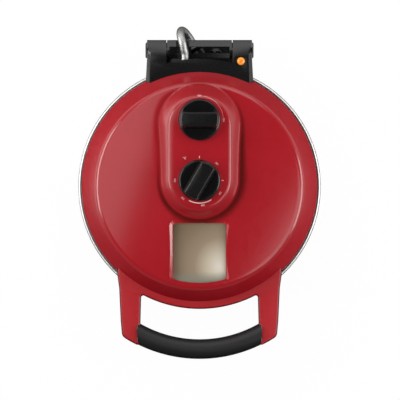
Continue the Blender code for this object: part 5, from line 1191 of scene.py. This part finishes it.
for row in frame["record"]["subparts"]:
    node, slot = row["node"], row["material_slot"]
    if node in dressed:
        continue
    mesh = merged_copy(node, "detailed_" + node)
    body = frame["nodes"][node].parent.name.removeprefix("body:")
    detail = rolled(mesh, chosen(EDGE, node, EDGE_ELSEWHERE), 2, 35)
    add_piece(detail, body, slot, node, 40, chosen(FINISH, node, None))
print("pieces made:", len(made))

# %% [markdown]
# ## Stage
# The photograph looks straight down from far off on a white ground. The camera does the same with a long
# lens.

# %% Camera
PHOTO_SPAN = 0.5761
CAMERA_DISTANCE = 8.0
SENSOR = 36.0                   # mm
scene = bpy.context.scene
camera_data = bpy.data.cameras.new("camera")
camera_data.sensor_width = SENSOR
camera_data.lens = SENSOR * CAMERA_DISTANCE / PHOTO_SPAN
camera_data.clip_end = 50.0
camera = show("camera", camera_data)
camera.location = (0.0007, -0.0107, 0.1 + CAMERA_DISTANCE)
scene.camera = camera
scene.view_settings.view_transform = "Standard"
print("picture is", PHOTO_SPAN, "m wide on the ground, lens", round(camera_data.lens), "mm")

# %% [markdown]
# The ground is white, and so is the world behind it. What the gloss mirrors is set apart from what the
# camera sees: the ground is dim near the cooker and bright beyond its sides, more at the left, and the
# world is bright at the horizon and dark overhead. That gives the enamel its pale edges and its deep red.

# %% Floor and world
FLOOR_HALF = 6000.0
GROUND_GLOW = 0.96
NEAR_GLOW = 0.12
LEFT_GLOW = 2.6
RIGHT_GLOW = 1.3
SIDE_START, SIDE_END = 0.48, 0.54
FRONT_OF_GROUND = (-0.4, -0.1, 0.1, 1.0)        # from y to y, and from how bright to how bright
FILL = 0.2
CEILING = 0.05
HORIZON = 0.95
SKY = (0.15, 0.75, HORIZON, CEILING)            # from height to height, and from how bright to how bright
FRONT_OF_SKY = (-0.7, -0.2, 0.3, 1.0)
floor = show("floor", make_mesh("floor", FLOOR_HALF * np.array([
    (-1, -1, 0), (1, -1, 0), (1, 1, 0), (-1, 1, 0)]), np.array([[0, 1, 2, 3]])))


def sight(tree):
    """How much a ray is one of the eye's own, and how much it is mirrored by gloss."""
    rays = add_node(tree, "LightPath").outputs
    own = (rays["Is Camera Ray"], rays["Is Transmission Ray"])
    return add_node(tree, "Math", own, operation="MAXIMUM").outputs[0], rays["Is Glossy Ray"]


ground, tree, shader, place = start_finish("white_ground", Roughness=0.9)
shader.inputs["Base Color"].default_value = linear("#f4f4f4")
seen, glossy = sight(tree)
share = add_node(tree, "Math", (seen, GROUND_GLOW), operation="MULTIPLY").outputs[0]
share = add_node(tree, "Math", (glossy, share), operation="MAXIMUM").outputs[0]
parts = add_node(tree, "SeparateXYZ", (place,)).outputs
left_side = add_node(tree, "MapRange", (parts["X"], -SIDE_END, -SIDE_START, LEFT_GLOW, NEAR_GLOW))
right_side = add_node(tree, "MapRange", (parts["X"], SIDE_START, SIDE_END, NEAR_GLOW, RIGHT_GLOW))
sides = add_node(tree, "Math", (left_side.outputs[0], right_side.outputs[0]), operation="MAXIMUM")
front = add_node(tree, "MapRange", (parts["Y"], *FRONT_OF_GROUND))
mirrored = add_node(tree, "Math", (sides.outputs[0], front.outputs[0]), operation="MULTIPLY")
strength = add_node(tree, "MapRange", (glossy, 0.0, 1.0, 1.0, mirrored.outputs[0]))
glow = add_node(tree, "Emission", {"Strength": strength.outputs[0]})
mix = add_node(tree, "MixShader", {"Fac": share, 1: shader.outputs[0], 2: glow.outputs[0]})
tree.links.new(mix.outputs[0], tree.nodes["Material Output"].inputs["Surface"])
floor.data.materials.append(ground)

world = bpy.data.worlds.new("studio")
world.use_nodes = True
scene.world = world
tree = world.node_tree
background = tree.nodes["Background"]
background.inputs["Color"].default_value = (1, 1, 1, 1)
seen, glossy = sight(tree)
aim = add_node(tree, "SeparateXYZ", (add_node(tree, "TexCoord").outputs["Generated"],)).outputs
height = add_node(tree, "MapRange", (aim["Z"], *SKY))
front = add_node(tree, "MapRange", (aim["Y"], *FRONT_OF_SKY))
mirrored = add_node(tree, "Math", (height.outputs[0], front.outputs[0]), operation="MULTIPLY")
strength = add_node(tree, "MapRange", (glossy, 0.0, 1.0, FILL, mirrored.outputs[0]))
strength = add_node(tree, "Math", (strength.outputs[0], seen), operation="MAXIMUM")
tree.links.new(strength.outputs[0], background.inputs["Strength"])
print("ground glows", GROUND_GLOW, "and the world's fill is", FILL)

# %% [markdown]
# Five soft boxes light the cooker: a broad panel and a low strip at the left, the same at the right, and a
# panel at the rear. The strips draw the bright lines along the skirt and the crease, and the panels lift
# the red of the dome.

# %% Lamps
LAMPS = (("left_panel", 29, 160, 1.5, (0.8, 1.3), 1.15), ("left_strip", 62, 170, 1.3, (0.42, 1.1), 6.2),
         ("right_panel", 38, -28, 1.4, (0.75, 1.0), 1.7), ("right_strip", 66, -4, 1.3, (0.45, 0.9), 5.2),
         ("rear_panel", 54, 90, 1.4, (0.85, 1.6), 1.45))
AIM = np.array([0.0, AXIS_Y * MM, 0.12])


def add_lamp(name, lean, bearing, reach, size, light):
    """A rectangular soft box, lean degrees from straight above, at a bearing in degrees from +X.

    It stands at that reach from the lid and faces it; light is how bright its face looks.
    """
    data = bpy.data.lights.new(name, "AREA")
    data.shape = "RECTANGLE"
    data.size, data.size_y = size
    data.energy = light * 4 * size[0] * size[1]
    lamp = show(name, data)
    lean, bearing = np.radians(lean), np.radians(bearing)
    away = np.array([np.sin(lean) * np.cos(bearing), np.sin(lean) * np.sin(bearing), np.cos(lean)])
    lamp.location = AIM + away * reach
    lamp.rotation_euler = (0, lean, bearing)


for lamp in LAMPS:
    add_lamp(*lamp)
print("lamps:", len(LAMPS))
